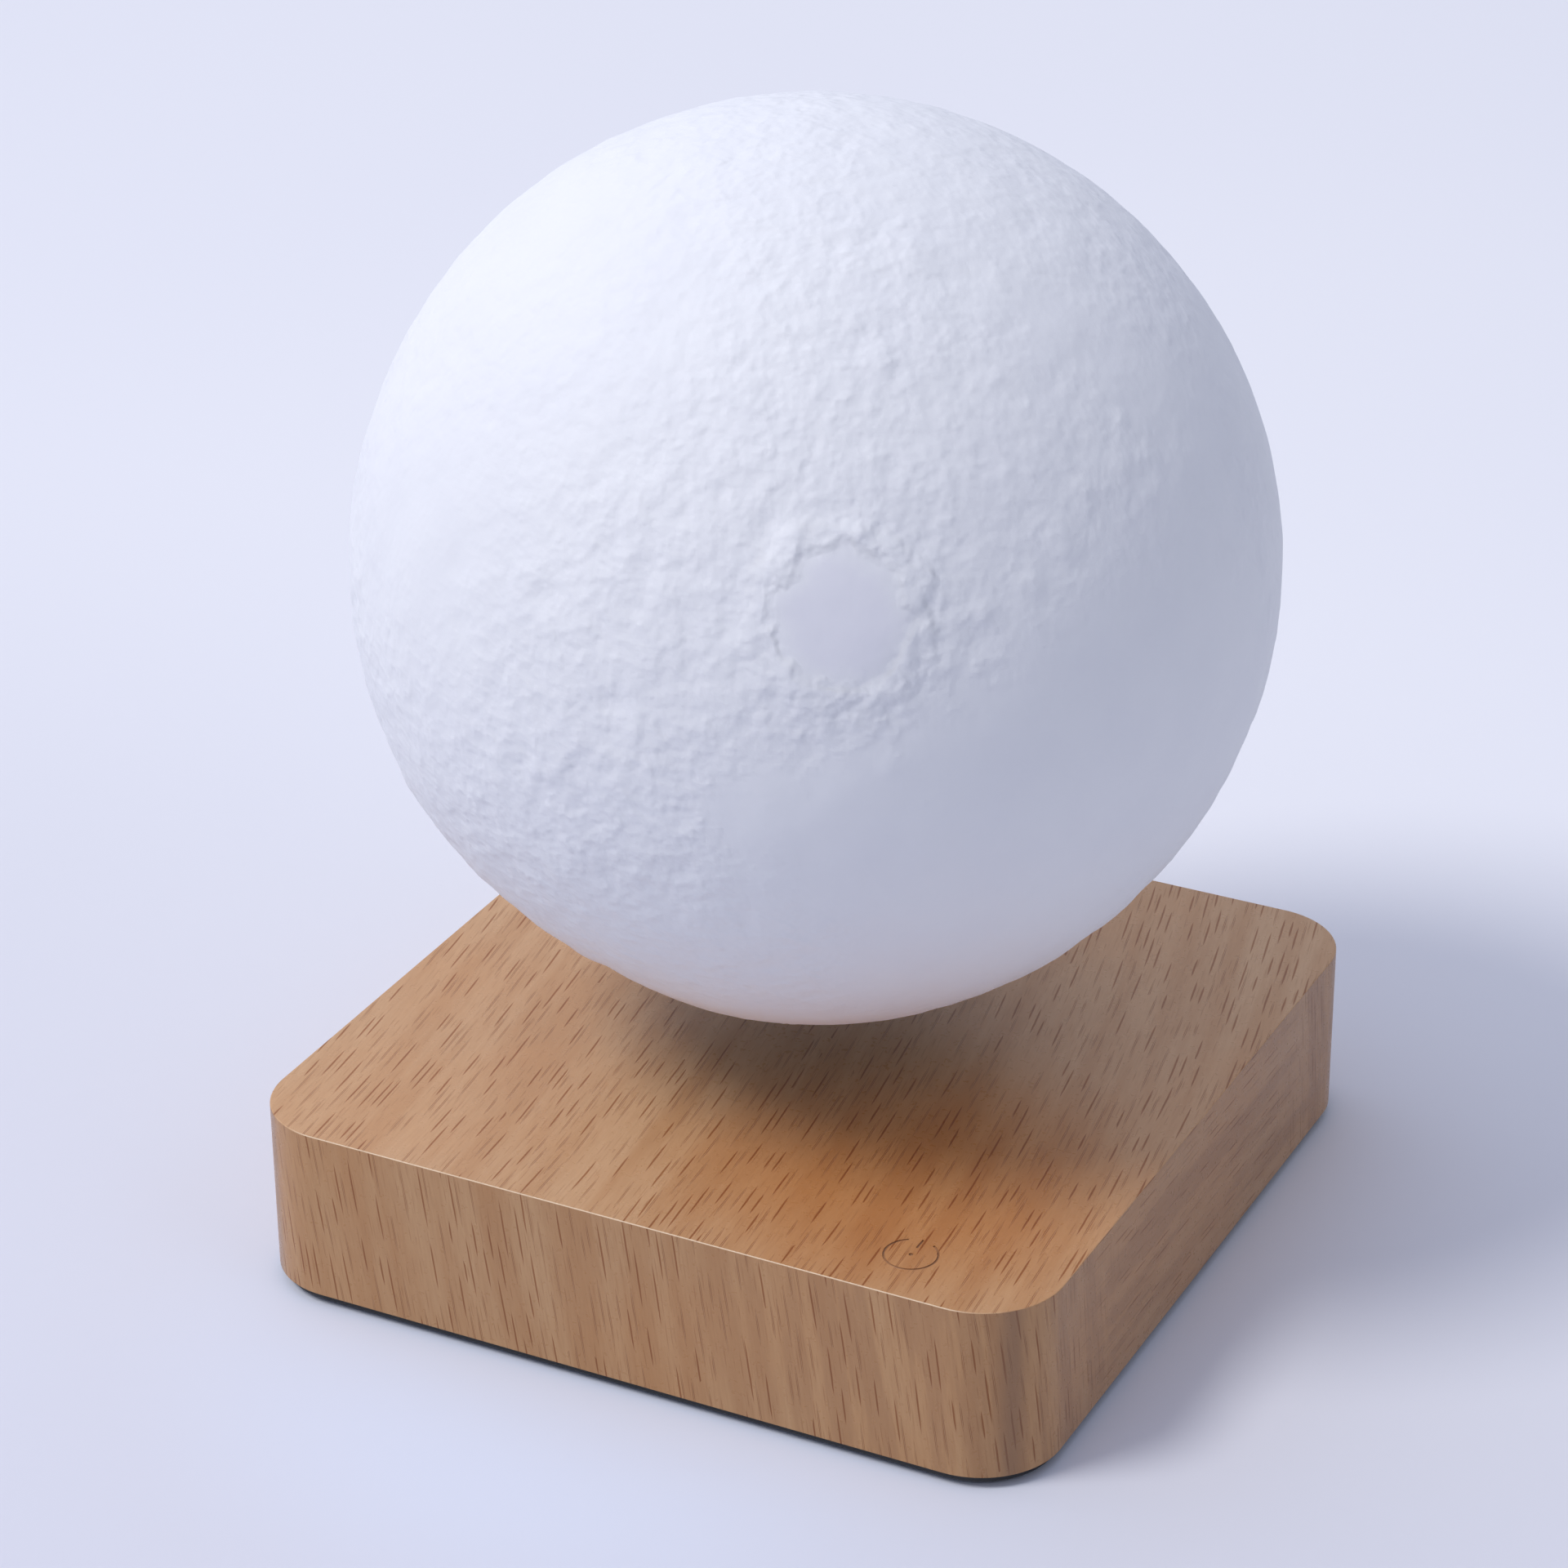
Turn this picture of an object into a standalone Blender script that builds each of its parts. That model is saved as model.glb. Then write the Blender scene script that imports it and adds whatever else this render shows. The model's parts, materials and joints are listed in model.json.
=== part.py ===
"""Levitating moon lamp: a printed globe that floats over a square wood-grain base.

Metres, +Z up. The origin is on the table under the middle of the base, and -Y is the front.
"""
import math

import bmesh
import bpy
from mathutils import Vector, noise

# Fits
SEAT_GAP = 0.0003  # between pieces that rest on, or fit in, each other
OVERRUN = 0.002  # how far a cutter passes the face that it opens
WELD = 0.001  # how far joined shapes reach into each other
SAME_POINT = 0.000001

# Smoothness of round shapes
GLOBE_STEPS = 56
GLOBE_ROWS = 27
GLOBE_INNER_ROWS = 10
RING_STEPS = 40
COIL_STEPS = 16
SMALL_STEPS = 10
INLET_STEPS = 24
CORNER_STEPS = 8
EDGE_STEPS = 2

# Wood-grain housing of the base
BASE_WIDTH = 0.142
BASE_CORNER = 0.014
WOOD_HEIGHT = 0.0305
WOOD_EDGE = 0.0006
SIDE_WALL = 0.003
TOP_WALL = 0.0025
BOSS_INSET = 0.0115  # from the base's side to the axis of a corner boss
BOSS_RADIUS = 0.0045
BOSS_BORE = 0.0011
BOSS_BORE_DEPTH = 0.012

# Power mark engraved in the top
MARK_CLEAR = 0.0025  # from the corner boss to the touch sensor under the mark
MARK_INSET = 0.0115  # from the base's front
MARK_RADIUS = 0.0043
MARK_LINE = 0.00045
MARK_DEPTH = 0.0003
MARK_OPENING = math.radians(29)  # half of the ring's opening
MARK_BAR_START = 0.0021
MARK_BAR_END = 0.0046
MARK_DOT_RADIUS = 0.0004
MARK_STEPS = 24

# Black plate under the base
PLATE_INSET = 0.0012  # from the wood's side to the plate's edge
FLANGE_THICKNESS = 0.0013
PLATE_THICKNESS = 0.0026
PLATE_SCREW_BORE = 0.0016
COUNTERBORE_RADIUS = 0.0034
COUNTERBORE_DEPTH = 0.0014

# Rubber feet
FOOT_RADIUS = 0.0065
FOOT_PROUD = 0.0006
FOOT_RECESS = 0.0012
FOOT_INSET = 0.023  # from the base's side to a foot's centre
FOOT_EDGE = 0.0003

# Screws
PLATE_SCREW_HEAD = 0.003
PLATE_SCREW_RISE = 0.001
PLATE_SCREW_SHANK = 0.0008
PLATE_SCREW_LENGTH = 0.009
CROSS_LENGTH = 0.0028
CROSS_WIDTH = 0.0006
CROSS_DEPTH = 0.0006
MODULE_SCREW_HEAD = 0.0026
MODULE_SCREW_RISE = 0.0016
MODULE_SCREW_SHANK = 0.0008
MODULE_SCREW_LENGTH = 0.009
SMALL_SCREW_HEAD = 0.0019
SMALL_SCREW_RISE = 0.0013
SMALL_SCREW_SHANK = 0.0006
SMALL_SCREW_LENGTH = 0.005
HEAD_TOP_SHARE = 0.7  # of a screw head's radius, flat on top
HEAD_SIDE_SHARE = 0.45  # of a screw head's rise, upright at its side

# Levitation module: its tray fills the room in front of the control board, and its coils fill the tray
MODULE_POST_RADIUS = 0.0035
MODULE_POST_BORE = 0.0011
MODULE_LIFT = 0.0085  # from the plate to the module's board
BOARD_THICKNESS = 0.0016
BOARD_MARGIN = 0.004  # from a screw's axis to the module board's side
MODULE_BOARD_CORNER = 0.004
MODULE_BORE = 0.0016
MAGNET_PROUD = 0.0015  # over the tray's walls
MAGNET_BORE_SHARE = 0.68  # of the ring magnet's outer radius
STACK_GAP = 0.0006  # from the magnet and coils to the transmitter coil
TRAY_WALL = 0.0015
TRAY_FLOOR = 0.0013
TRAY_CLEAR = 0.0018  # from the tray to the control board
EAR_THICKNESS = 0.0024
EAR_WIDTH = 0.009
EAR_REACH = 0.0048  # from the tray's side to the screw's axis
EAR_OVERHANG = 0.0045  # past the axis of its screw

# Steering coils
BOBBIN_SHARE = 0.336  # of the tray's inner radius
COIL_PLACE_SHARE = 0.513  # of the same radius, from the middle to a coil's axis
CORE_SHARE = 0.324  # of the bobbin's radius
BOBBIN_FLANGE = 0.0012
BOBBIN_HUB_WALL = 0.001
WINDING_INSET = 0.0004  # from the flange's edge to the winding's outside

# Field sensors
SENSOR_PLACE = 0.0032
SENSOR_WIDTH = 0.004
SENSOR_THICKNESS = 0.0015
SENSOR_HEIGHT = 0.003
SENSOR_LIFT = 0.008
SENSOR_LEG = 0.0005
SENSOR_PITCH = 0.00127

# Control board along the back wall
CONTROL_END_GAP = 0.009  # from the board's ends to the corner bosses
CONTROL_WIDTH = 0.0134
CONTROL_WALL_GAP = 0.001  # from the board to the back wall's inside
CONTROL_LIFT = 0.0045  # from the plate to the board
CONTROL_CORNER = 0.001
CONTROL_POST_INSET = 0.005  # from the board's end
CONTROL_POST_RADIUS = 0.003
CONTROL_POST_BORE = 0.001
CONTROL_BORE = 0.0012

# Parts on the control board, in a row between the inlet and the screws at its ends. Those that fill
# the room are sized by shares of half of the board's length.
PART_GAP = 0.0015
CAPACITOR_SHARE = 0.087  # for its radius
INDUCTOR_SHARE = 0.185
CHIP_SHARE = 0.152
SINK_SHARE = 0.2935
TRANSISTOR_SHARE = 0.385  # of the heat sink's length
JACK_WIDTH = 0.009
JACK_HEIGHT = 0.011
JACK_END_INSET = 0.0007  # from the board's front edge
JACK_AXIS_LIFT = 0.006
JACK_BORE = 0.0031
JACK_BORE_DEPTH = 0.009
JACK_CORNER = 0.0008
JACK_PIN_RADIUS = 0.001
JACK_PIN_LENGTH = 0.0075
INLET_RADIUS = 0.0044
CAPACITOR_HEIGHT = 0.0115
CAPACITOR_GROOVE = 0.0004
INDUCTOR_HEIGHT = 0.006
INDUCTOR_CORNER = 0.0025
CHIP_HEIGHT = 0.0012
SINK_WIDTH = 0.010
SINK_HEIGHT = 0.0085
SINK_FLOOR = 0.002
SINK_FINS = 4
SINK_SLOT = 0.0024
TRANSISTOR_GAP = 0.0015
TRANSISTOR_WIDTH = 0.006
TRANSISTOR_HEIGHT = 0.0023

# Flat cable between the boards
RIBBON_WIDTH = 0.005
RIBBON_THICKNESS = 0.0006
RIBBON_ON_MODULE = 0.006
RIBBON_ON_CONTROL = 0.004
RIBBON_RUN_OUT = 0.006

# Coil that powers the globe, and its lead
TRANSMITTER_INSET = 0.002  # inside the ring magnet's two edges
TRANSMITTER_HEIGHT = 0.0018
LEAD_RADIUS = 0.0006
LEAD_RUN_OUT = 0.0052  # from the coil to the lead's fall
LEAD_REACH = 0.003  # from the control board's front edge to the lead's foot

# Touch sensor under the power mark, and its wire
TOUCH_LENGTH = 0.013
TOUCH_WIDTH = 0.010
TOUCH_THICKNESS = 0.001
TOUCH_CORNER = 0.001
WIRE_RADIUS = 0.0005
WIRE_WALL_GAP = 0.008  # from the right wall's inside to the wire's run
WIRE_DROP = 0.003
WIRE_SAG = 0.006
WIRE_BEND = 0.018
WIRE_END_INSET = 0.0018

# Globe
GLOBE_RADIUS = 0.075
GLOBE_WALL = 0.0018
FLOAT_GAP = 0.0185  # from the base's top to the globe's flat
GLOBE_FLAT_RADIUS = 0.034  # where the globe is cut flat underneath
GLOBE_RIM = 0.003  # width of the flat between its edge and the opening

# Printed relief: places are turned from +X and lifted over the equator, in degrees
PLATEAU_HEIGHT = 0.0006
ROUND_PLAIN = (-59.4, 18.4, 8.8)
WIDE_PLAINS = ((-34.0, -8.0, 17.0), (-58.0, -20.0, 19.0), (-24.0, 9.0, 11.0))
PLATEAU_BLEND = 3.5
BASIN = (-104.0, -42.0, 36.0)
BASIN_DEPTH = 0.0014
HIGHLAND_HEIGHT = 0.0005
HIGHLAND_FINENESS = 5.0
RELIEF_FADE = 8.0  # degrees above the flat in which the relief sets in

# Cap in the globe's opening, flush with the flat
CAP_THICKNESS = 0.0018
CAP_EDGE = 0.0004
CAP_WALL = 0.0016
CAP_RISE = 0.0172  # of the tube over the flat
FLOAT_MAGNET_HEIGHT = 0.007
FLOAT_MAGNET_EDGE = 0.0005
RETAINER_WALL = 0.0022
RETAINER_RISE = 0.0078
POST_WELD = 0.0005  # how far the screw posts stand in the magnet's ring
POST_CLEAR = 0.0005  # from the screw posts to the receiver coil
POST_RADIUS = 0.0022
POST_RISE = 0.011
POST_BORE = 0.0009
POST_BORE_DEPTH = 0.006

# Parts in the globe
RECEIVER_COIL_WIDTH = 0.0015
RECEIVER_COIL_HEIGHT = 0.008
RECEIVER_CLEAR = 0.0016  # from the board's edge to the cap's tube
RECEIVER_THICKNESS = 0.0016
RECEIVER_BORE = 0.001
RECEIVER_CAP_RADIUS = 0.0032
RECEIVER_CAP_HEIGHT = 0.0055
LED_PLACE = 0.013
LED_WIDTH = 0.005
LED_HEIGHT = 0.0016
LED_CORNER = 0.0004

# Heights and places that follow
PLATE_BOTTOM = FOOT_PROUD
FLANGE_TOP = PLATE_BOTTOM + FLANGE_THICKNESS
PLATE_TOP = PLATE_BOTTOM + PLATE_THICKNESS
WOOD_BOTTOM = FLANGE_TOP + SEAT_GAP
WOOD_TOP = WOOD_BOTTOM + WOOD_HEIGHT
CEILING = WOOD_TOP - TOP_WALL
BASE_HALF = BASE_WIDTH / 2
CAVITY_HALF = BASE_HALF - SIDE_WALL
BOSS_PLACE = BASE_HALF - BOSS_INSET
FOOT_PLACE = BASE_HALF - FOOT_INSET
MODULE_BOARD_BOTTOM = PLATE_TOP + MODULE_LIFT + SEAT_GAP
MODULE_BOARD_TOP = MODULE_BOARD_BOTTOM + BOARD_THICKNESS
MODULE_SEAT = MODULE_BOARD_TOP + SEAT_GAP
CONTROL_BOTTOM = PLATE_TOP + CONTROL_LIFT + SEAT_GAP
CONTROL_TOP = CONTROL_BOTTOM + BOARD_THICKNESS
CONTROL_SEAT = CONTROL_TOP + SEAT_GAP
CONTROL_BACK = CAVITY_HALF - CONTROL_WALL_GAP
CONTROL_MIDDLE = CONTROL_BACK - CONTROL_WIDTH / 2
CONTROL_FRONT = CONTROL_BACK - CONTROL_WIDTH
JACK_FACE = CAVITY_HALF - SEAT_GAP
JACK_AXIS = CONTROL_SEAT + JACK_AXIS_LIFT
JACK_LENGTH = JACK_FACE - CONTROL_FRONT - JACK_END_INSET
MARK_X = BOSS_PLACE - BOSS_RADIUS - MARK_CLEAR - TOUCH_LENGTH / 2
MARK_Y = MARK_INSET - BASE_HALF
TRANSMITTER_TOP = CEILING - SEAT_GAP
TRANSMITTER_BOTTOM = TRANSMITTER_TOP - TRANSMITTER_HEIGHT
MAGNET_TOP = TRANSMITTER_BOTTOM - STACK_GAP
TRAY_OUTER = CONTROL_FRONT - TRAY_CLEAR
MAGNET_OUTER = TRAY_OUTER - TRAY_WALL - SEAT_GAP
MAGNET_INNER = MAGNET_OUTER * MAGNET_BORE_SHARE
TRAY_INNER = MAGNET_INNER - SEAT_GAP - TRAY_WALL
BOBBIN_RADIUS = TRAY_INNER * BOBBIN_SHARE
COIL_PLACE = TRAY_INNER * COIL_PLACE_SHARE
CORE_RADIUS = BOBBIN_RADIUS * CORE_SHARE
MODULE_POST_REACH = TRAY_OUTER + EAR_REACH
MODULE_POST_PLACE = MODULE_POST_REACH / math.sqrt(2)
MODULE_BOARD_HALF = MODULE_POST_PLACE + BOARD_MARGIN
CONTROL_HALF = BOSS_PLACE - BOSS_RADIUS - CONTROL_END_GAP
CONTROL_POST_PLACE = CONTROL_HALF - CONTROL_POST_INSET
CAPACITOR_RADIUS = CONTROL_HALF * CAPACITOR_SHARE
INDUCTOR_WIDTH = CONTROL_HALF * INDUCTOR_SHARE
CHIP_WIDTH = CONTROL_HALF * CHIP_SHARE
SINK_LENGTH = CONTROL_HALF * SINK_SHARE
TRANSISTOR_LENGTH = SINK_LENGTH * TRANSISTOR_SHARE
RIBBON_PLACE = -JACK_WIDTH / 2 - PART_GAP - RIBBON_WIDTH / 2
CAPACITOR_PLACE = RIBBON_PLACE - RIBBON_WIDTH / 2 - PART_GAP - CAPACITOR_RADIUS
INDUCTOR_PLACE = SMALL_SCREW_HEAD + PART_GAP + INDUCTOR_WIDTH / 2 - CONTROL_POST_PLACE
LEAD_PLACE = JACK_WIDTH / 2 + PART_GAP + LEAD_RADIUS
CHIP_PLACE = LEAD_PLACE + LEAD_RADIUS + PART_GAP + CHIP_WIDTH / 2
SINK_PLACE = CONTROL_POST_PLACE - SMALL_SCREW_HEAD - PART_GAP - SINK_LENGTH / 2
GLOBE_OPENING = GLOBE_FLAT_RADIUS - GLOBE_RIM
GLOBE_FLAT = -math.sqrt(GLOBE_RADIUS ** 2 - GLOBE_FLAT_RADIUS ** 2)  # from the globe's centre
CAP_FLOOR = GLOBE_FLAT + CAP_THICKNESS
CAP_SEAT = CAP_FLOOR + SEAT_GAP
GLOBE_CENTRE = WOOD_TOP + FLOAT_GAP - GLOBE_FLAT
CAP_TUBE_OUTER = GLOBE_OPENING - SEAT_GAP
CAP_TUBE_INNER = CAP_TUBE_OUTER - CAP_WALL
RECEIVER_COIL_OUTER = CAP_TUBE_INNER - SEAT_GAP
RECEIVER_COIL_INNER = RECEIVER_COIL_OUTER - RECEIVER_COIL_WIDTH
POST_PLACE = RECEIVER_COIL_INNER - POST_CLEAR - POST_RADIUS
RETAINER_OUTER = POST_PLACE - POST_RADIUS + POST_WELD
RETAINER_INNER = RETAINER_OUTER - RETAINER_WALL
FLOAT_MAGNET_RADIUS = RETAINER_INNER - SEAT_GAP
RECEIVER_RADIUS = CAP_TUBE_INNER - RECEIVER_CLEAR
RECEIVER_BOTTOM = CAP_FLOOR + POST_RISE + SEAT_GAP
RECEIVER_TOP = RECEIVER_BOTTOM + RECEIVER_THICKNESS

# Colour, roughness and metallic value of each finish
FINISHES = {
    "wood film": ((0.49, 0.27, 0.13), 0.55, 0.0),
    "black plastic": ((0.015, 0.015, 0.016), 0.5, 0.0),
    "grey plastic": ((0.18, 0.18, 0.19), 0.5, 0.0),
    "white print": ((0.84, 0.85, 0.88), 0.6, 0.0),
    "white plastic": ((0.8, 0.81, 0.83), 0.45, 0.0),
    "rubber": ((0.02, 0.02, 0.02), 0.85, 0.0),
    "steel": ((0.55, 0.56, 0.58), 0.35, 1.0),
    "magnet plating": ((0.6, 0.6, 0.6), 0.25, 1.0),
    "ferrite": ((0.05, 0.05, 0.055), 0.7, 0.0),
    "copper": ((0.72, 0.32, 0.16), 0.35, 1.0),
    "green board": ((0.01, 0.14, 0.05), 0.4, 0.0),
    "aluminium": ((0.75, 0.76, 0.77), 0.4, 1.0),
    "lens": ((0.85, 0.8, 0.45), 0.3, 0.0),
    "red wire": ((0.5, 0.02, 0.02), 0.45, 0.0),
}


def clear_scene():
    for old in list(bpy.data.objects):
        bpy.data.objects.remove(old, do_unlink=True)


def material(name, finish):
    colour, roughness, metallic = FINISHES[finish]
    made = bpy.data.materials.new(name)
    made.use_nodes = True
    shader = made.node_tree.nodes["Principled BSDF"]
    shader.inputs["Base Color"].default_value = (*colour, 1)
    shader.inputs["Roughness"].default_value = roughness
    shader.inputs["Metallic"].default_value = metallic
    made.diffuse_color = (*colour, 1)
    return made


def to_object(name, bm, finish=None):
    """Make an object of a mesh under construction, with its own material unless it is a cutter."""
    bmesh.ops.recalc_face_normals(bm, faces=bm.faces)
    mesh = bpy.data.meshes.new(name)
    bm.to_mesh(mesh)
    bm.free()
    mesh.shade_smooth()
    mesh.set_sharp_from_angle(angle=math.radians(35))
    made = bpy.data.objects.new(name, mesh)
    bpy.context.collection.objects.link(made)
    if finish:
        mesh.materials.append(material(name, finish))
    return made


def rounded_outline(width, depth, corner):
    """Corner points of a rectangle round the origin, each corner an arc."""
    points = []
    for turn, side_x, side_y in ((0, 1, 1), (1, -1, 1), (2, -1, -1), (3, 1, -1)):
        for step in range(CORNER_STEPS + 1):
            angle = math.pi / 2 * (turn + step / CORNER_STEPS)
            points.append((side_x * (width / 2 - corner) + corner * math.cos(angle),
                           side_y * (depth / 2 - corner) + corner * math.sin(angle)))
    return points


def plain_outline(width, depth):
    x, y = width / 2, depth / 2
    return [(x, y), (-x, y), (-x, -y), (x, -y)]


def prism(name, outline, low, high, finish=None):
    """Raise a flat outline from one height to another."""
    bm = bmesh.new()
    face = bm.faces.new([bm.verts.new((x, y, low)) for x, y in outline])
    raised = bmesh.ops.extrude_face_region(bm, geom=[face])
    corners = [item for item in raised["geom"] if isinstance(item, bmesh.types.BMVert)]
    bmesh.ops.translate(bm, verts=corners, vec=(0, 0, high - low))
    return to_object(name, bm, finish)


def turned(name, profile, finish=None, steps=COIL_STEPS):
    """Turn (radius, height) points about Z. A profile off the axis closes on itself."""
    bm = bmesh.new()
    points = [bm.verts.new((radius, 0, height)) for radius, height in profile]
    edges = [bm.edges.new(pair) for pair in zip(points, points[1:])]
    if profile[0][0] > 0:
        edges.append(bm.edges.new((points[-1], points[0])))
    bmesh.ops.spin(bm, geom=points + edges, cent=(0, 0, 0), axis=(0, 0, 1), angle=2 * math.pi,
                   steps=steps, use_merge=True)
    bmesh.ops.remove_doubles(bm, verts=bm.verts, dist=SAME_POINT)
    return to_object(name, bm, finish)


def disc_profile(radius, low, high):
    return [(0, high), (radius, high), (radius, low), (0, low)]


def ring_profile(inner, outer, low, high):
    return [(inner, high), (outer, high), (outer, low), (inner, low)]


def as_tool(tool):
    tool.hide_render = True
    tool.display_type = "WIRE"
    return tool


def boolean(target, tool, operation):
    step = target.modifiers.new(tool.name, "BOOLEAN")
    step.operation = operation
    step.solver = "EXACT"
    step.object = as_tool(tool)
    tool.parent = target
    return target


def cut(target, tool):
    return boolean(target, tool, "DIFFERENCE")


def join(target, tool):
    return boolean(target, tool, "UNION")


def placed(made, x=0, y=0, z=0):
    made.location = (x, y, z)
    return made


def copy_of(source, name, finish, x, y, z=0):
    """A second piece with the first one's mesh shape, modifiers left out."""
    mesh = source.data.copy()
    mesh.name = name
    mesh.materials.clear()
    mesh.materials.append(material(name, finish))
    made = bpy.data.objects.new(name, mesh)
    bpy.context.collection.objects.link(made)
    return placed(made, x, y, z)


def corners(place):
    """The four places at the same distance from the middle along X and along Y."""
    return [(-place, -place), (place, -place), (place, place), (-place, place)]


def smooth_route(points, steps):
    """Points along a smooth curve through the given ones."""
    ends = [points[0] * 2 - points[1]] + points + [points[-1] * 2 - points[-2]]
    route = []
    for before, start, end, after in zip(ends, ends[1:], ends[2:], ends[3:]):
        slope = end - before
        square = 2 * before - 5 * start + 4 * end - after
        cube = 3 * start - before - 3 * end + after
        for step in range(steps):
            t = step / steps
            route.append((2 * start + slope * t + square * t ** 2 + cube * t ** 3) / 2)
    return route + [points[-1]]


def wire(name, points, radius, finish, steps=5):
    """A round wire through the given points."""
    curve = bpy.data.curves.new(name, "CURVE")
    curve.dimensions = "3D"
    curve.bevel_depth = radius
    curve.bevel_resolution = 1
    curve.use_fill_caps = True
    route = smooth_route([Vector(point) for point in points], steps)
    spline = curve.splines.new("POLY")
    spline.points.add(len(route) - 1)
    for point, place in zip(spline.points, route):
        point.co = (*place, 1)
    curve.materials.append(material(name, finish))
    made = bpy.data.objects.new(name, curve)
    bpy.context.collection.objects.link(made)
    return made


def screw_profile(head, rise, shank, length):
    """A pan head that stands on the plane z = 0, with its shank below it."""
    return [(0, rise), (head * HEAD_TOP_SHARE, rise), (head, rise * HEAD_SIDE_SHARE), (head, 0),
            (shank, 0), (shank, shank - length), (0, -length)]


def base_housing():
    outside = rounded_outline(BASE_WIDTH, BASE_WIDTH, BASE_CORNER)
    housing = prism("base_housing", outside, WOOD_BOTTOM, WOOD_TOP, "wood film")
    edge = housing.modifiers.new("edge", "BEVEL")
    edge.width = WOOD_EDGE
    edge.segments = EDGE_STEPS
    edge.limit_method = "ANGLE"
    edge.angle_limit = math.radians(60)
    inside = rounded_outline(CAVITY_HALF * 2, CAVITY_HALF * 2, BASE_CORNER - SIDE_WALL)
    cut(housing, prism("housing_cavity", inside, WOOD_BOTTOM - OVERRUN, CEILING))
    boss_low = PLATE_TOP + SEAT_GAP
    for number, (x, y) in enumerate(corners(BOSS_PLACE), 1):
        boss = turned(f"housing_boss_{number}", disc_profile(BOSS_RADIUS, boss_low, CEILING + WELD))
        join(housing, placed(boss, x, y))
    for number, (x, y) in enumerate(corners(BOSS_PLACE), 1):
        bore = disc_profile(BOSS_BORE, boss_low - OVERRUN, boss_low + BOSS_BORE_DEPTH)
        cut(housing, placed(turned(f"housing_bore_{number}", bore, None, SMALL_STEPS), x, y))
    inlet_profile = disc_profile(INLET_RADIUS, -SIDE_WALL - OVERRUN, OVERRUN)
    inlet = turned("inlet_hole", inlet_profile, None, INLET_STEPS)
    inlet.rotation_euler = (-math.pi / 2, 0, 0)
    cut(housing, placed(inlet, 0, BASE_HALF, JACK_AXIS))
    cut(housing, power_mark())
    return housing


def power_mark():
    """Grooves of the ring, open to the back, of its bar and of the dot in its middle."""
    inner, outer = MARK_RADIUS - MARK_LINE / 2, MARK_RADIUS + MARK_LINE / 2
    start = math.pi / 2 + MARK_OPENING
    sweep = 2 * (math.pi - MARK_OPENING)
    angles = [start + sweep * step / MARK_STEPS for step in range(MARK_STEPS + 1)]
    ring = [(outer * math.cos(a), outer * math.sin(a)) for a in angles]
    ring += [(inner * math.cos(a), inner * math.sin(a)) for a in reversed(angles)]
    bar = [(MARK_LINE / 2, MARK_BAR_END), (-MARK_LINE / 2, MARK_BAR_END), (-MARK_LINE / 2, MARK_BAR_START),
           (MARK_LINE / 2, MARK_BAR_START)]
    dot = [(MARK_DOT_RADIUS * math.cos(2 * math.pi * step / SMALL_STEPS),
            MARK_DOT_RADIUS * math.sin(2 * math.pi * step / SMALL_STEPS)) for step in range(SMALL_STEPS)]
    bm = bmesh.new()
    for outline in (ring, bar, dot):
        face = bm.faces.new([bm.verts.new((x, y, WOOD_TOP - MARK_DEPTH)) for x, y in outline])
        raised = bmesh.ops.extrude_face_region(bm, geom=[face])
        lifted = [item for item in raised["geom"] if isinstance(item, bmesh.types.BMVert)]
        bmesh.ops.translate(bm, verts=lifted, vec=(0, 0, MARK_DEPTH + OVERRUN))
    return placed(to_object("power_mark", bm), MARK_X, MARK_Y)


def bottom_plate():
    flange_width = BASE_WIDTH - 2 * PLATE_INSET
    plate = prism("bottom_plate", rounded_outline(flange_width, flange_width, BASE_CORNER - PLATE_INSET),
                  PLATE_BOTTOM, FLANGE_TOP, "black plastic")
    step_width = 2 * (CAVITY_HALF - SEAT_GAP)
    step_corner = BASE_CORNER - SIDE_WALL - SEAT_GAP
    step = rounded_outline(step_width, step_width, step_corner)
    join(plate, prism("plate_step", step, FLANGE_TOP - WELD, PLATE_TOP))
    for number, (x, y) in enumerate(corners(MODULE_POST_PLACE), 1):
        add_post(plate, f"module_post_{number}", x, y, MODULE_POST_RADIUS, MODULE_POST_BORE, MODULE_LIFT)
    for number, x in enumerate((-CONTROL_POST_PLACE, CONTROL_POST_PLACE), 1):
        add_post(plate, f"control_post_{number}", x, CONTROL_MIDDLE, CONTROL_POST_RADIUS,
                 CONTROL_POST_BORE, CONTROL_LIFT)
    for number, (x, y) in enumerate(corners(FOOT_PLACE), 1):
        recess = disc_profile(FOOT_RADIUS + SEAT_GAP, PLATE_BOTTOM - OVERRUN, PLATE_BOTTOM + FOOT_RECESS)
        cut(plate, placed(turned(f"foot_recess_{number}", recess, None, INLET_STEPS), x, y))
    for number, (x, y) in enumerate(corners(BOSS_PLACE), 1):
        shoulder = PLATE_BOTTOM + COUNTERBORE_DEPTH
        above, below = PLATE_TOP + OVERRUN, PLATE_BOTTOM - OVERRUN
        hole = [(0, above), (PLATE_SCREW_BORE, above), (PLATE_SCREW_BORE, shoulder),
                (COUNTERBORE_RADIUS, shoulder), (COUNTERBORE_RADIUS, below), (0, below)]
        cut(plate, placed(turned(f"plate_screw_hole_{number}", hole), x, y))
    return plate


def add_post(plate, name, x, y, radius, bore, rise):
    """A screw post on the bottom plate."""
    join(plate, placed(turned(name, disc_profile(radius, PLATE_TOP - WELD, PLATE_TOP + rise)), x, y))
    drilled = disc_profile(bore, PLATE_TOP, PLATE_TOP + rise + OVERRUN)
    cut(plate, placed(turned(name + "_bore", drilled, None, SMALL_STEPS), x, y))


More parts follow.
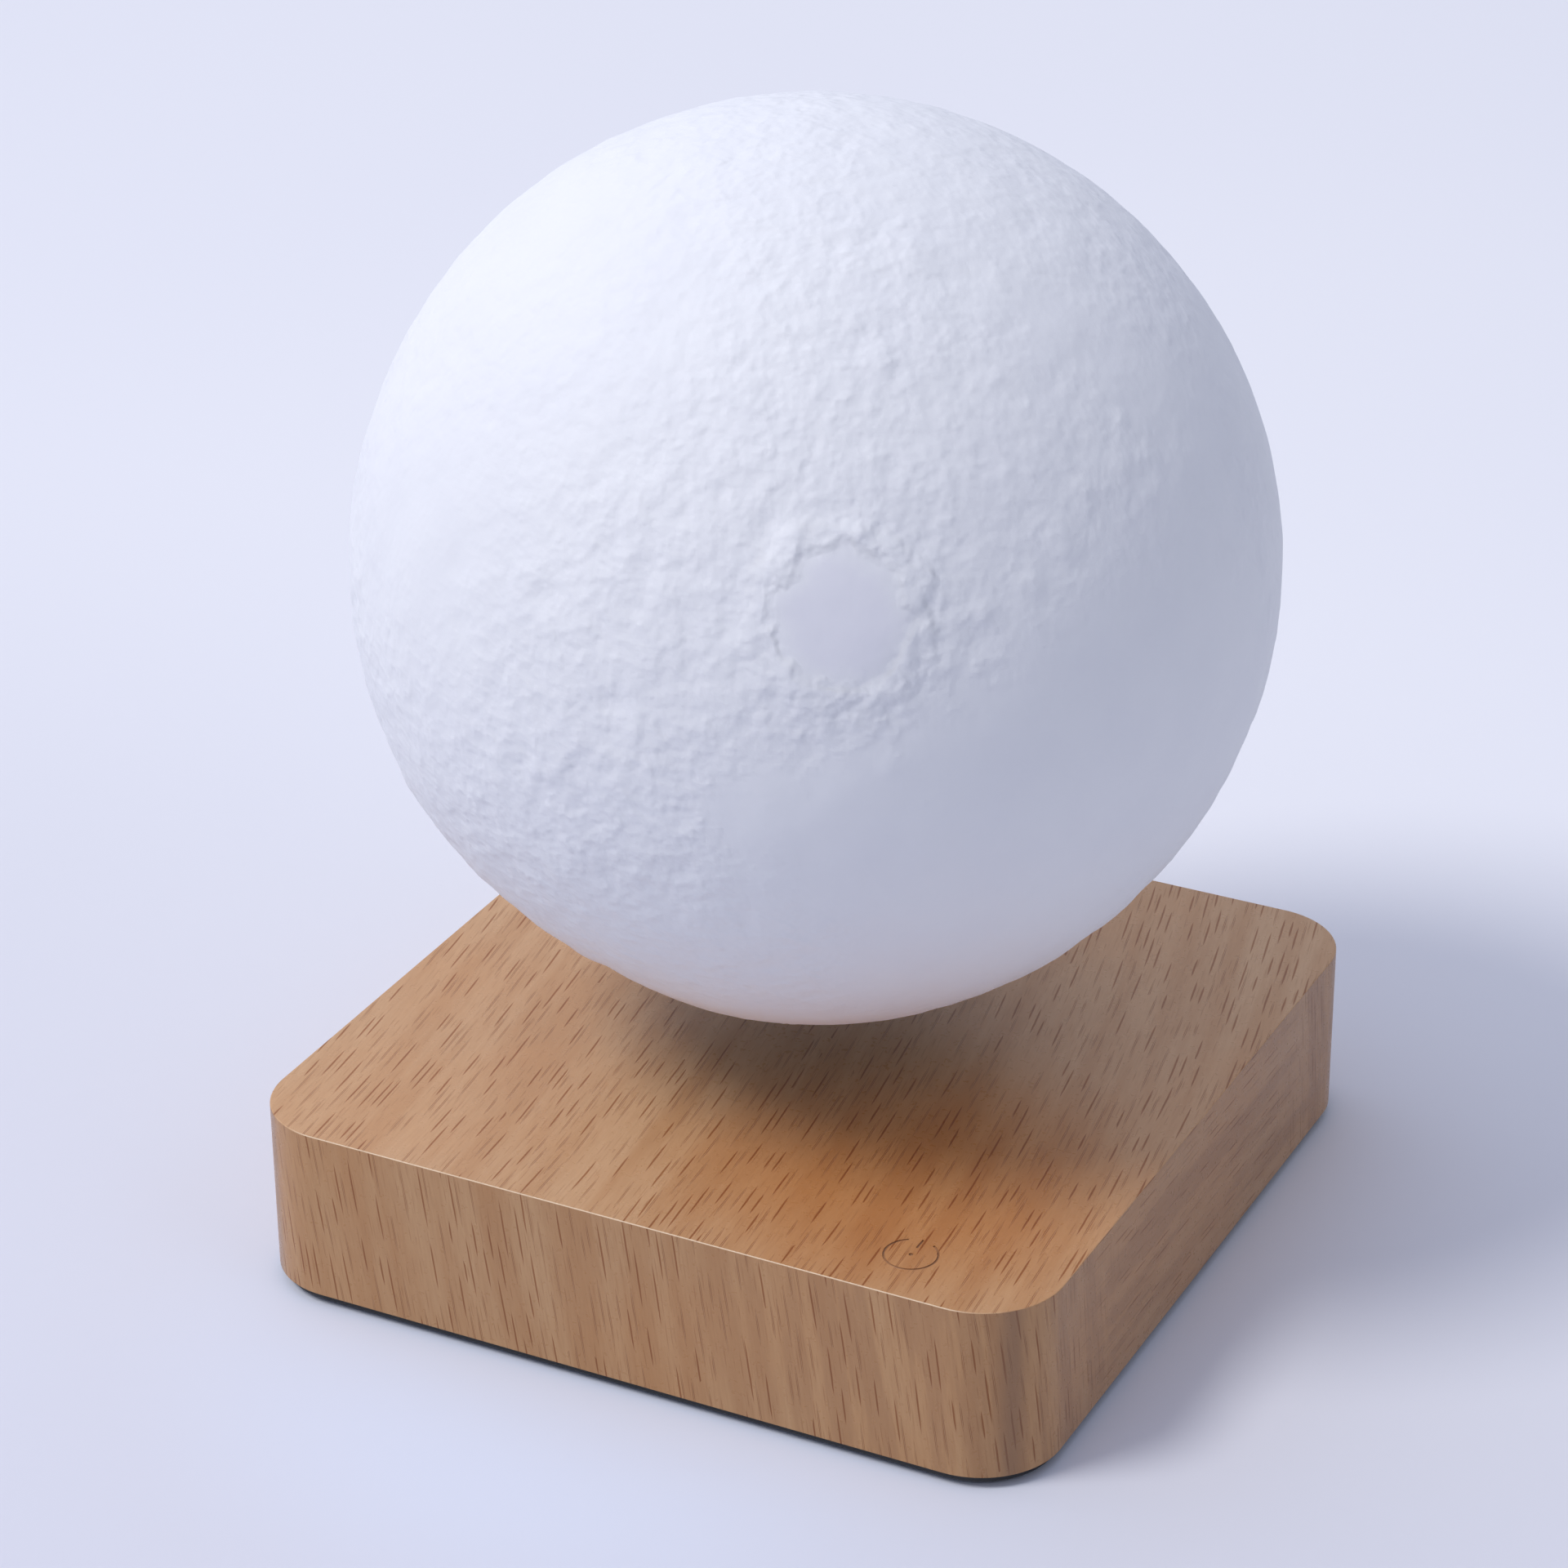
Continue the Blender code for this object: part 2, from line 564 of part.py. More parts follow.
def feet():
    top = PLATE_BOTTOM + FOOT_RECESS - SEAT_GAP
    profile = [(0, top), (FOOT_RADIUS, top), (FOOT_RADIUS, FOOT_EDGE), (FOOT_RADIUS - FOOT_EDGE, 0), (0, 0)]
    first_x, first_y = corners(FOOT_PLACE)[0]
    first = placed(turned("foot_1", profile, "rubber", INLET_STEPS), first_x, first_y)
    for number, (x, y) in enumerate(corners(FOOT_PLACE)[1:], 2):
        copy_of(first, f"foot_{number}", "rubber", x, y)


def plate_screws():
    """Screws from below, with a cross recess in their heads."""
    profile = screw_profile(PLATE_SCREW_HEAD, PLATE_SCREW_RISE, PLATE_SCREW_SHANK, PLATE_SCREW_LENGTH)
    seat = PLATE_BOTTOM + COUNTERBORE_DEPTH - SEAT_GAP
    for number, (x, y) in enumerate(corners(BOSS_PLACE), 1):
        name = f"plate_screw_{number}"
        screw = turned(name, profile, "steel", SMALL_STEPS)
        cross = plain_outline(CROSS_LENGTH, CROSS_WIDTH)
        for turn in (0, 1):
            slot = prism(f"{name}_slot_{turn}", cross, PLATE_SCREW_RISE - CROSS_DEPTH,
                         PLATE_SCREW_RISE + OVERRUN)
            slot.rotation_euler = (0, 0, turn * math.pi / 2)
            cut(screw, slot)
        screw.rotation_euler = (math.pi, 0, 0)
        placed(screw, x, y, seat)


def screws(stem, profile, places, z):
    """Pan head screws with their heads up."""
    first_x, first_y = places[0]
    first = placed(turned(f"{stem}_1", profile, "steel", SMALL_STEPS), first_x, first_y, z)
    for number, (x, y) in enumerate(places[1:], 2):
        copy_of(first, f"{stem}_{number}", "steel", x, y, z)


def levitation_board():
    outline = rounded_outline(2 * MODULE_BOARD_HALF, 2 * MODULE_BOARD_HALF, MODULE_BOARD_CORNER)
    board = prism("levitation_board", outline, MODULE_BOARD_BOTTOM, MODULE_BOARD_TOP, "green board")
    for number, (x, y) in enumerate(corners(MODULE_POST_PLACE), 1):
        hole = disc_profile(MODULE_BORE, MODULE_BOARD_BOTTOM - OVERRUN, MODULE_BOARD_TOP + OVERRUN)
        cut(board, placed(turned(f"levitation_board_hole_{number}", hole, None, SMALL_STEPS), x, y))


def magnet_tray():
    """A ring trough for the magnet, with four ears that its screws pass."""
    low, floor, high = MODULE_SEAT, MODULE_SEAT + TRAY_FLOOR, MAGNET_TOP - MAGNET_PROUD
    inner_face, outer_face = TRAY_INNER + TRAY_WALL, TRAY_OUTER - TRAY_WALL
    section = [(TRAY_INNER, high), (inner_face, high), (inner_face, floor), (outer_face, floor),
               (outer_face, high), (TRAY_OUTER, high), (TRAY_OUTER, low), (TRAY_INNER, low)]
    tray = turned("magnet_tray", section, "grey plastic", RING_STEPS)
    ear_start, ear_end = TRAY_OUTER - TRAY_WALL / 2, MODULE_POST_REACH + EAR_OVERHANG
    outline = [(x + (ear_start + ear_end) / 2, y)
               for x, y in rounded_outline(ear_end - ear_start, EAR_WIDTH, TRAY_WALL / 2)]
    for number in range(1, 5):
        ear = prism(f"tray_ear_{number}", outline, low, low + EAR_THICKNESS)
        ear.rotation_euler = (0, 0, math.pi / 2 * number - math.pi / 4)
        join(tray, ear)
    for number, (x, y) in enumerate(corners(MODULE_POST_PLACE), 1):
        hole = disc_profile(MODULE_BORE, low - OVERRUN, low + EAR_THICKNESS + OVERRUN)
        cut(tray, placed(turned(f"tray_hole_{number}", hole, None, SMALL_STEPS), x, y))
    magnet = ring_profile(MAGNET_INNER, MAGNET_OUTER, floor + SEAT_GAP, MAGNET_TOP)
    turned("ring_magnet", magnet, "ferrite", RING_STEPS)


def steering_coils():
    """Four coils round the middle: bobbin, winding and iron core."""
    low, high = MODULE_SEAT, MAGNET_TOP
    bore = CORE_RADIUS + SEAT_GAP
    hub = bore + BOBBIN_HUB_WALL
    lower, upper = low + BOBBIN_FLANGE, high - BOBBIN_FLANGE
    bobbin = [(bore, high), (BOBBIN_RADIUS, high), (BOBBIN_RADIUS, upper), (hub, upper),
              (hub, lower), (BOBBIN_RADIUS, lower), (BOBBIN_RADIUS, low), (bore, low)]
    winding = ring_profile(hub + SEAT_GAP, BOBBIN_RADIUS - WINDING_INSET, lower + SEAT_GAP,
                           upper - SEAT_GAP)
    core = disc_profile(CORE_RADIUS, low, high)
    for number in range(1, 5):
        angle = math.pi / 2 * number
        x, y = COIL_PLACE * math.cos(angle), COIL_PLACE * math.sin(angle)
        placed(turned(f"coil_bobbin_{number}", bobbin, "black plastic"), x, y)
        placed(turned(f"coil_winding_{number}", winding, "copper"), x, y)
        placed(turned(f"coil_core_{number}", core, "steel", SMALL_STEPS), x, y)


def hall_sensors():
    """Three field sensors that stand on their legs between the coils."""
    block, pin = plain_outline(SENSOR_THICKNESS, SENSOR_WIDTH), plain_outline(SENSOR_LEG, SENSOR_LEG)
    low = MODULE_SEAT + SENSOR_LIFT
    for axis, angle in (("x", 0), ("y", math.pi / 2), ("z", math.pi)):
        sensor = prism(f"hall_sensor_{axis}", block, low, low + SENSOR_HEIGHT, "black plastic")
        for side in (-1, 0, 1):
            leg = prism(f"sensor_{axis}_leg_{side + 2}", pin, MODULE_SEAT, low + WELD)
            join(sensor, placed(leg, 0, side * SENSOR_PITCH))
        placed(sensor, SENSOR_PLACE * math.cos(angle), SENSOR_PLACE * math.sin(angle))
        sensor.rotation_euler = (0, 0, angle)


def control_board():
    outline = rounded_outline(2 * CONTROL_HALF, CONTROL_WIDTH, CONTROL_CORNER)
    board = prism("control_board", outline, CONTROL_BOTTOM, CONTROL_TOP, "green board")
    for number, x in enumerate((-CONTROL_POST_PLACE, CONTROL_POST_PLACE), 1):
        hole = disc_profile(CONTROL_BORE, CONTROL_BOTTOM - OVERRUN, CONTROL_TOP + OVERRUN)
        cut(board, placed(turned(f"control_board_hole_{number}", hole, None, SMALL_STEPS), x, 0))
    placed(board, 0, CONTROL_MIDDLE)


def dc_jack():
    """The power inlet behind the hole in the back wall, and its centre contact."""
    block = rounded_outline(JACK_WIDTH, JACK_LENGTH, JACK_CORNER)
    jack = prism("dc_jack", block, CONTROL_SEAT, CONTROL_SEAT + JACK_HEIGHT, "black plastic")
    placed(jack, 0, JACK_FACE - JACK_LENGTH / 2)
    bore = turned("jack_bore", disc_profile(JACK_BORE, -JACK_BORE_DEPTH, OVERRUN), None, INLET_STEPS)
    bore.rotation_euler = (-math.pi / 2, 0, 0)
    cut(jack, placed(bore, 0, JACK_LENGTH / 2, JACK_AXIS))
    pin_profile = [(0, JACK_PIN_LENGTH), (JACK_PIN_RADIUS / 2, JACK_PIN_LENGTH),
                   (JACK_PIN_RADIUS, JACK_PIN_LENGTH - JACK_PIN_RADIUS / 2), (JACK_PIN_RADIUS, 0), (0, 0)]
    pin = turned("dc_jack_pin", pin_profile, "steel", SMALL_STEPS)
    pin.rotation_euler = (-math.pi / 2, 0, 0)
    placed(pin, 0, JACK_FACE - JACK_BORE_DEPTH + SEAT_GAP, JACK_AXIS)


def board_parts():
    """Parts that stand on the control board."""
    groove = CAPACITOR_GROOVE
    low, high = CONTROL_SEAT, CONTROL_SEAT + CAPACITOR_HEIGHT
    neck = low + 4 * groove
    can = [(0, high), (CAPACITOR_RADIUS - groove, high), (CAPACITOR_RADIUS, high - groove),
           (CAPACITOR_RADIUS, neck + groove), (CAPACITOR_RADIUS - groove, neck),
           (CAPACITOR_RADIUS, neck - groove), (CAPACITOR_RADIUS, low), (0, low)]
    placed(turned("power_capacitor", can, "black plastic"), CAPACITOR_PLACE, CONTROL_MIDDLE)
    block = rounded_outline(INDUCTOR_WIDTH, INDUCTOR_WIDTH, INDUCTOR_CORNER)
    inductor = prism("power_inductor", block, low, low + INDUCTOR_HEIGHT, "ferrite")
    placed(inductor, INDUCTOR_PLACE, CONTROL_MIDDLE)
    outline = plain_outline(CHIP_WIDTH, CHIP_WIDTH)
    chip = prism("control_chip", outline, low, low + CHIP_HEIGHT, "black plastic")
    placed(chip, CHIP_PLACE, CONTROL_MIDDLE)
    outline = plain_outline(TRANSISTOR_LENGTH, TRANSISTOR_WIDTH)
    for number, side in ((1, -1), (2, 1)):
        body = prism(f"power_transistor_{number}", outline, low, low + TRANSISTOR_HEIGHT, "black plastic")
        placed(body, SINK_PLACE + side * (TRANSISTOR_LENGTH + TRANSISTOR_GAP) / 2, CONTROL_MIDDLE)
    heat_sink()


def heat_sink():
    low = CONTROL_SEAT + TRANSISTOR_HEIGHT + SEAT_GAP
    high = low + SINK_HEIGHT
    sink = prism("heat_sink", plain_outline(SINK_LENGTH, SINK_WIDTH), low, high, "aluminium")
    pitch = (SINK_LENGTH + SINK_SLOT) / SINK_FINS
    gap = plain_outline(SINK_SLOT, SINK_WIDTH + OVERRUN)
    for number in range(1, SINK_FINS):
        slot = prism(f"sink_slot_{number}", gap, low + SINK_FLOOR, high + OVERRUN)
        cut(sink, placed(slot, (number - SINK_FINS / 2) * pitch, 0))
    placed(sink, SINK_PLACE, CONTROL_MIDDLE)


def board_ribbon():
    """A flat cable from under the levitation board to the top of the control board."""
    upper = MODULE_BOARD_BOTTOM - SEAT_GAP
    landing = CONTROL_SEAT + RIBBON_THICKNESS
    route = [(MODULE_BOARD_HALF - RIBBON_ON_MODULE, upper), (MODULE_BOARD_HALF + RIBBON_RUN_OUT, upper),
             (CONTROL_FRONT, landing), (CONTROL_FRONT + RIBBON_ON_CONTROL, landing)]
    section = route + [(y, z - RIBBON_THICKNESS) for y, z in reversed(route)]
    ribbon = prism("board_ribbon", section, -RIBBON_WIDTH / 2, RIBBON_WIDTH / 2, "grey plastic")
    ribbon.rotation_euler = (math.pi / 2, 0, math.pi / 2)
    placed(ribbon, RIBBON_PLACE, 0)


def transmitter():
    """The flat coil under the top, and its lead down to the control board."""
    inner, outer = MAGNET_INNER + TRANSMITTER_INSET, MAGNET_OUTER - TRANSMITTER_INSET
    section = ring_profile(inner, outer, TRANSMITTER_BOTTOM, TRANSMITTER_TOP)
    turned("transmitter_coil", section, "copper", RING_STEPS)
    start = math.sqrt(outer ** 2 - LEAD_PLACE ** 2) + SEAT_GAP
    level = (TRANSMITTER_BOTTOM + TRANSMITTER_TOP) / 2
    fall = start + LEAD_RUN_OUT
    foot = CONTROL_FRONT + LEAD_REACH
    points = [(LEAD_PLACE, start, level), (LEAD_PLACE, (start + fall) / 2, level),
              (LEAD_PLACE, fall, (3 * level + CONTROL_SEAT) / 4),
              (LEAD_PLACE, fall, (level + CONTROL_SEAT) / 2),
              (LEAD_PLACE, foot, (level + 4 * CONTROL_SEAT) / 5), (LEAD_PLACE, foot, CONTROL_SEAT)]
    wire("transmitter_lead", points, LEAD_RADIUS, "copper")


def touch_sensor():
    """A small board under the power mark, and its wire along the right wall to the control board."""
    high = CEILING - SEAT_GAP
    low = high - TOUCH_THICKNESS
    outline = rounded_outline(TOUCH_LENGTH, TOUCH_WIDTH, TOUCH_CORNER)
    placed(prism("touch_board", outline, low, high, "green board"), MARK_X, MARK_Y)
    run = CAVITY_HALF - WIRE_WALL_GAP
    end = CONTROL_HALF - WIRE_END_INSET
    top = low - SEAT_GAP
    points = [(MARK_X, MARK_Y, top), (MARK_X, MARK_Y + WIRE_DROP, top - WIRE_DROP),
              (run, MARK_Y + WIRE_BEND, top - WIRE_SAG), (run, 0, top - 1.5 * WIRE_SAG),
              (run, CONTROL_FRONT - WIRE_BEND, top - WIRE_SAG * 2),
              (end, CONTROL_FRONT + WIRE_END_INSET, CONTROL_SEAT + WIRE_DROP),
              (end, CONTROL_FRONT + WIRE_END_INSET, CONTROL_SEAT)]
    wire("touch_wire", points, WIRE_RADIUS, "red wire")


def compass(turn, lift):
    """Unit direction for a turn from +X and a lift over the equator, in degrees."""
    turn, lift = math.radians(turn), math.radians(lift)
    return Vector((math.cos(lift) * math.cos(turn), math.cos(lift) * math.sin(turn), math.sin(lift)))


def blend(value):
    """Ease from 0 to 1 as the value does."""
    value = min(max(value, 0), 1)
    return value * value * (3 - 2 * value)


def relief(direction):
    """Height of the print over the plain globe: smooth raised plains, rough highland, one wide basin."""
    inside = 0
    for turn, lift, spread in (ROUND_PLAIN, *WIDE_PLAINS):
        away = math.degrees(direction.angle(compass(turn, lift)))
        inside = max(inside, blend((spread + PLATEAU_BLEND / 2 - away) / PLATEAU_BLEND))
    highland = HIGHLAND_HEIGHT * noise.noise(direction * HIGHLAND_FINENESS) * (1 - inside)
    turn, lift, spread = BASIN
    away = math.degrees(direction.angle(compass(turn, lift)))
    return PLATEAU_HEIGHT * inside + highland - BASIN_DEPTH * blend(1 - away / spread)


def moon_shell(parent):
    """The hollow globe, cut flat underneath and open there for the cap."""
    inner_radius = GLOBE_RADIUS - GLOBE_WALL
    flat_lift = math.asin(GLOBE_FLAT / GLOBE_RADIUS)
    inner_lift = -math.acos(GLOBE_OPENING / inner_radius)
    section = []
    for row in range(GLOBE_ROWS + 1):
        lift = math.pi / 2 + (flat_lift - math.pi / 2) * row / GLOBE_ROWS
        section.append((GLOBE_RADIUS * math.cos(lift) if row else 0, GLOBE_RADIUS * math.sin(lift)))
    section.append((GLOBE_OPENING, GLOBE_FLAT))
    for row in range(GLOBE_INNER_ROWS + 1):
        lift = inner_lift + (math.pi / 2 - inner_lift) * row / GLOBE_INNER_ROWS
        radius = inner_radius * math.cos(lift) if row < GLOBE_INNER_ROWS else 0
        section.append((radius, inner_radius * math.sin(lift)))
    shell = turned("moon_shell", section, "white print", GLOBE_STEPS)
    limit = inner_radius + GLOBE_WALL / 2
    for point in shell.data.vertices:
        if point.co.length > limit:
            direction = point.co.normalized()
            above_flat = math.degrees(math.asin(direction.z) - flat_lift)
            point.co += direction * relief(direction) * blend(above_flat / RELIEF_FADE)
    shell.parent = parent


def moon_cap(parent):
    """The plug in the opening: floor, tube, magnet ring and three screw posts."""
    tube_top = GLOBE_FLAT + CAP_RISE
    ring_top, post_top = CAP_FLOOR + RETAINER_RISE, CAP_FLOOR + POST_RISE
    section = [(0, CAP_FLOOR), (RETAINER_INNER, CAP_FLOOR), (RETAINER_INNER, ring_top),
               (RETAINER_OUTER, ring_top), (RETAINER_OUTER, CAP_FLOOR), (CAP_TUBE_INNER, CAP_FLOOR),
               (CAP_TUBE_INNER, tube_top), (CAP_TUBE_OUTER, tube_top),
               (CAP_TUBE_OUTER, GLOBE_FLAT + CAP_EDGE), (CAP_TUBE_OUTER - CAP_EDGE, GLOBE_FLAT),
               (0, GLOBE_FLAT)]
    cap = turned("moon_cap", section, "white plastic", RING_STEPS)
    bore_low, post_low = post_top - POST_BORE_DEPTH, CAP_FLOOR - WELD
    post = [(0, bore_low), (POST_BORE, bore_low), (POST_BORE, post_top), (POST_RADIUS, post_top),
            (POST_RADIUS, post_low), (0, post_low)]
    for number, (x, y) in enumerate(post_places(), 1):
        join(cap, placed(turned(f"cap_post_{number}", post, None, SMALL_STEPS), x, y))
    cap.parent = parent


def post_places():
    return [(POST_PLACE * math.cos(angle), POST_PLACE * math.sin(angle))
            for angle in (math.pi / 2 + 2 * math.pi * number / 3 for number in range(3))]


def float_magnet(parent):
    edge = FLOAT_MAGNET_EDGE
    low, high = CAP_SEAT, CAP_SEAT + FLOAT_MAGNET_HEIGHT
    section = [(0, high), (FLOAT_MAGNET_RADIUS - edge, high), (FLOAT_MAGNET_RADIUS, high - edge),
               (FLOAT_MAGNET_RADIUS, low + edge), (FLOAT_MAGNET_RADIUS - edge, low), (0, low)]
    turned("float_magnet", section, "magnet plating", RING_STEPS).parent = parent


def receiver(parent):
    """Pick-up coil, its board, the board's parts and the screws that hold it."""
    coil = ring_profile(RECEIVER_COIL_INNER, RECEIVER_COIL_OUTER, CAP_SEAT, CAP_SEAT + RECEIVER_COIL_HEIGHT)
    turned("receiver_coil", coil, "copper", RING_STEPS).parent = parent
    disc = disc_profile(RECEIVER_RADIUS, RECEIVER_BOTTOM, RECEIVER_TOP)
    board = turned("receiver_board", disc, "green board", RING_STEPS)
    for number, (x, y) in enumerate(post_places(), 1):
        hole = disc_profile(RECEIVER_BORE, RECEIVER_BOTTOM - OVERRUN, RECEIVER_TOP + OVERRUN)
        cut(board, placed(turned(f"receiver_hole_{number}", hole, None, SMALL_STEPS), x, y))
    board.parent = parent
    seat = RECEIVER_TOP + SEAT_GAP
    profile = screw_profile(SMALL_SCREW_HEAD, SMALL_SCREW_RISE, SMALL_SCREW_SHANK, SMALL_SCREW_LENGTH)
    screws("cap_screw", profile, post_places(), seat)
    can = disc_profile(RECEIVER_CAP_RADIUS, seat, seat + RECEIVER_CAP_HEIGHT)
    turned("receiver_capacitor", can, "black plastic").parent = parent
    outline = rounded_outline(LED_WIDTH, LED_WIDTH, LED_CORNER)
    for number in range(1, 4):
        angle = -math.pi / 2 + 2 * math.pi * number / 3
        led = prism(f"led_{number}", outline, seat, seat + LED_HEIGHT, "lens")
        led.rotation_euler = (0, 0, angle)
        placed(led, LED_PLACE * math.cos(angle), LED_PLACE * math.sin(angle)).parent = parent
        bpy.data.objects[f"cap_screw_{number}"].parent = parent


def main():
    clear_scene()
    base_housing()
    bottom_plate()
    feet()
    plate_screws()
    levitation_board()
    magnet_tray()
    module_screw = screw_profile(MODULE_SCREW_HEAD, MODULE_SCREW_RISE, MODULE_SCREW_SHANK,
                                 MODULE_SCREW_LENGTH)
    screws("module_screw", module_screw, corners(MODULE_POST_PLACE), MODULE_SEAT + EAR_THICKNESS + SEAT_GAP)
    steering_coils()
    hall_sensors()
    control_board()
    control_screw = screw_profile(SMALL_SCREW_HEAD, SMALL_SCREW_RISE, SMALL_SCREW_SHANK, SMALL_SCREW_LENGTH)
    control_places = [(-CONTROL_POST_PLACE, CONTROL_MIDDLE), (CONTROL_POST_PLACE, CONTROL_MIDDLE)]
    screws("control_board_screw", control_screw, control_places, CONTROL_SEAT)
    dc_jack()
    board_parts()
    board_ribbon()
    transmitter()
    touch_sensor()
    lift_axis = bpy.data.objects.new("moon_lift_axis", None)
    spin_axis = bpy.data.objects.new("moon_spin_axis", None)
    for axis in (lift_axis, spin_axis):
        bpy.context.collection.objects.link(axis)
    placed(lift_axis, 0, 0, GLOBE_CENTRE)
    spin_axis.parent = lift_axis
    float_magnet(lift_axis)
    moon_shell(spin_axis)
    moon_cap(spin_axis)
    receiver(spin_axis)


main()
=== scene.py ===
import json
import math
import random

import bpy
import numpy as np
from mathutils import Matrix, Vector, noise


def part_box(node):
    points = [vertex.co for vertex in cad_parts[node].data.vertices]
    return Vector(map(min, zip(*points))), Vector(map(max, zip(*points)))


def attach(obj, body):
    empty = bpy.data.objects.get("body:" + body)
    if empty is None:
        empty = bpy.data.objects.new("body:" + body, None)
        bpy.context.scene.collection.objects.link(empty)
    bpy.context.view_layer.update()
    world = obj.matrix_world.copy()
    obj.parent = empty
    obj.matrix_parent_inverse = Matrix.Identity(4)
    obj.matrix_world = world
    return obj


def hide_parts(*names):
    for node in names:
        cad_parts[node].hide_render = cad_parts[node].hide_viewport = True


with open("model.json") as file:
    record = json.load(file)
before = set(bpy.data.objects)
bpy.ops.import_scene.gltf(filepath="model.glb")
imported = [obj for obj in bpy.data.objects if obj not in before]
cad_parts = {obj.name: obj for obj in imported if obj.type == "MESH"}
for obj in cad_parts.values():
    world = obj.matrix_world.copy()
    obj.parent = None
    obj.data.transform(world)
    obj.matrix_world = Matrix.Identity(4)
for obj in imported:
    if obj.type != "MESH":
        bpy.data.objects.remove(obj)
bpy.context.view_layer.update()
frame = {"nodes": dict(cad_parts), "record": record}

# Looks of the levitating moon lamp, in metres. The housing's box and the globe's lowest point come from
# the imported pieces. -Y is the front.

nodes = frame["nodes"]
WOOD_LOW, WOOD_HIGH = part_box("base_housing")
WOOD_HALF = WOOD_HIGH.x
WOOD_TOP = WOOD_HIGH.z
BASE_CORNER = 0.014
STRAIGHT_HALF = WOOD_HALF - BASE_CORNER
CORNER_ARC = BASE_CORNER * math.pi / 2
SIDE_WALL = 0.003
CEILING = WOOD_TOP - 0.0025
BOSS_PLACE = 0.0595
JACK_AXIS = 0.0159
BOSS_RADIUS = 0.0045
BOSS_RIM = 0.0034
BOSS_LOW = 0.0035
BORE_DEPTH = 0.012
INLET_RADIUS = 0.0044
INLET_FLARE = 1.16
INLET_FLARE_DEPTH = 0.0008
TOP_ROUND = 0.00022
MARK_PLACE = Vector((0.046, -0.0595, WOOD_TOP))
MARK_RADIUS = 0.0043
MARK_LINE = 0.00021
MARK_DEPTH = 0.00008
MARK_DOT = 0.0004
MARK_BAR = 0.0025
MARK_BAR_PLACE = 0.00335
MARK_OPENING = math.radians(29)
GLOBE_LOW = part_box("moon_shell")[0]
GLOBE_RADIUS = 0.075
GLOBE_CENTRE = Vector((0, 0, 0.11805))
GLOBE_WALL = 0.0018
FLAT = GLOBE_LOW.z - GLOBE_CENTRE.z
OPENING = 0.031


# Hand tools

def deselect():
    if bpy.context.object and bpy.context.object.mode != "OBJECT":
        bpy.ops.object.mode_set(mode="OBJECT")
    bpy.ops.object.select_all(action="DESELECT")


def named(name):
    """Give the new primitive its name and put its place into its mesh."""
    piece = bpy.context.object
    piece.name = piece.data.name = name
    bpy.ops.object.transform_apply(location=True, rotation=True, scale=True)
    return piece


def activate(piece):
    deselect()
    piece.select_set(True)
    bpy.context.view_layer.objects.active = piece


def pick(piece, kind, test):
    """Open edit mode with the corners, edges or faces selected that pass the test."""
    activate(piece)
    mesh = piece.data
    for group in (mesh.vertices, mesh.edges, mesh.polygons):
        group.foreach_set("select", [False] * len(group))
    if kind == "VERT":
        for corner in mesh.vertices:
            corner.select = test(corner.co)
    elif kind == "EDGE":
        for edge in mesh.edges:
            edge.select = test(*(mesh.vertices[end].co for end in edge.vertices))
    else:
        for face in mesh.polygons:
            face.select = test(face.center, face.normal)
    bpy.context.tool_settings.mesh_select_mode = [kind == each for each in ("VERT", "EDGE", "FACE")]
    bpy.ops.object.mode_set(mode="EDIT")


def object_mode():
    bpy.ops.object.mode_set(mode="OBJECT")


def cut_with(piece, tool, operation="DIFFERENCE"):
    """Cut or join with another piece, which is used up."""
    step = piece.modifiers.new(tool.name, "BOOLEAN")
    step.operation = operation
    step.solver = "EXACT"
    step.object = tool
    activate(piece)
    bpy.ops.object.modifier_apply(modifier=step.name)
    bpy.data.objects.remove(tool)


def join_into(piece, others):
    activate(piece)
    for other in others:
        other.select_set(True)
    bpy.ops.object.join()


def smooth(piece, angle):
    activate(piece)
    bpy.ops.object.shade_smooth_by_angle(angle=math.radians(angle))


def even_shading(piece):
    """Keep large flat faces flat to the eye where they meet small rounded ones."""
    activate(piece)
    step = piece.modifiers.new("even_shading", "WEIGHTED_NORMAL")
    step.keep_sharp = True
    bpy.ops.object.modifier_apply(modifier=step.name)


def face_outwards(piece):
    pick(piece, "FACE", lambda centre, normal: True)
    bpy.ops.mesh.remove_doubles(threshold=1e-7)
    bpy.ops.mesh.normals_make_consistent(inside=False)
    object_mode()


def near(value, goal, reach=1e-5):
    return abs(value - goal) < reach


# Materials

class Nodes:
    """The nodes of one tree under construction."""

    def __init__(self, tree):
        self.tree = tree

    def node(self, kind, inputs=(), **settings):
        made = self.tree.nodes.new("ShaderNode" + kind)
        for key, value in settings.items():
            setattr(made, key, value)
        for key, value in dict(inputs).items():
            self.feed(made.inputs[key], value)
        return made

    def feed(self, socket, value):
        if isinstance(value, bpy.types.NodeSocket):
            self.tree.links.new(value, socket)
        else:
            socket.default_value = value

    def maths(self, operation, first, second=0.0, third=0.0, **settings):
        made = self.node("Math", {0: first, 1: second, 2: third}, operation=operation, **settings)
        return made.outputs[0]


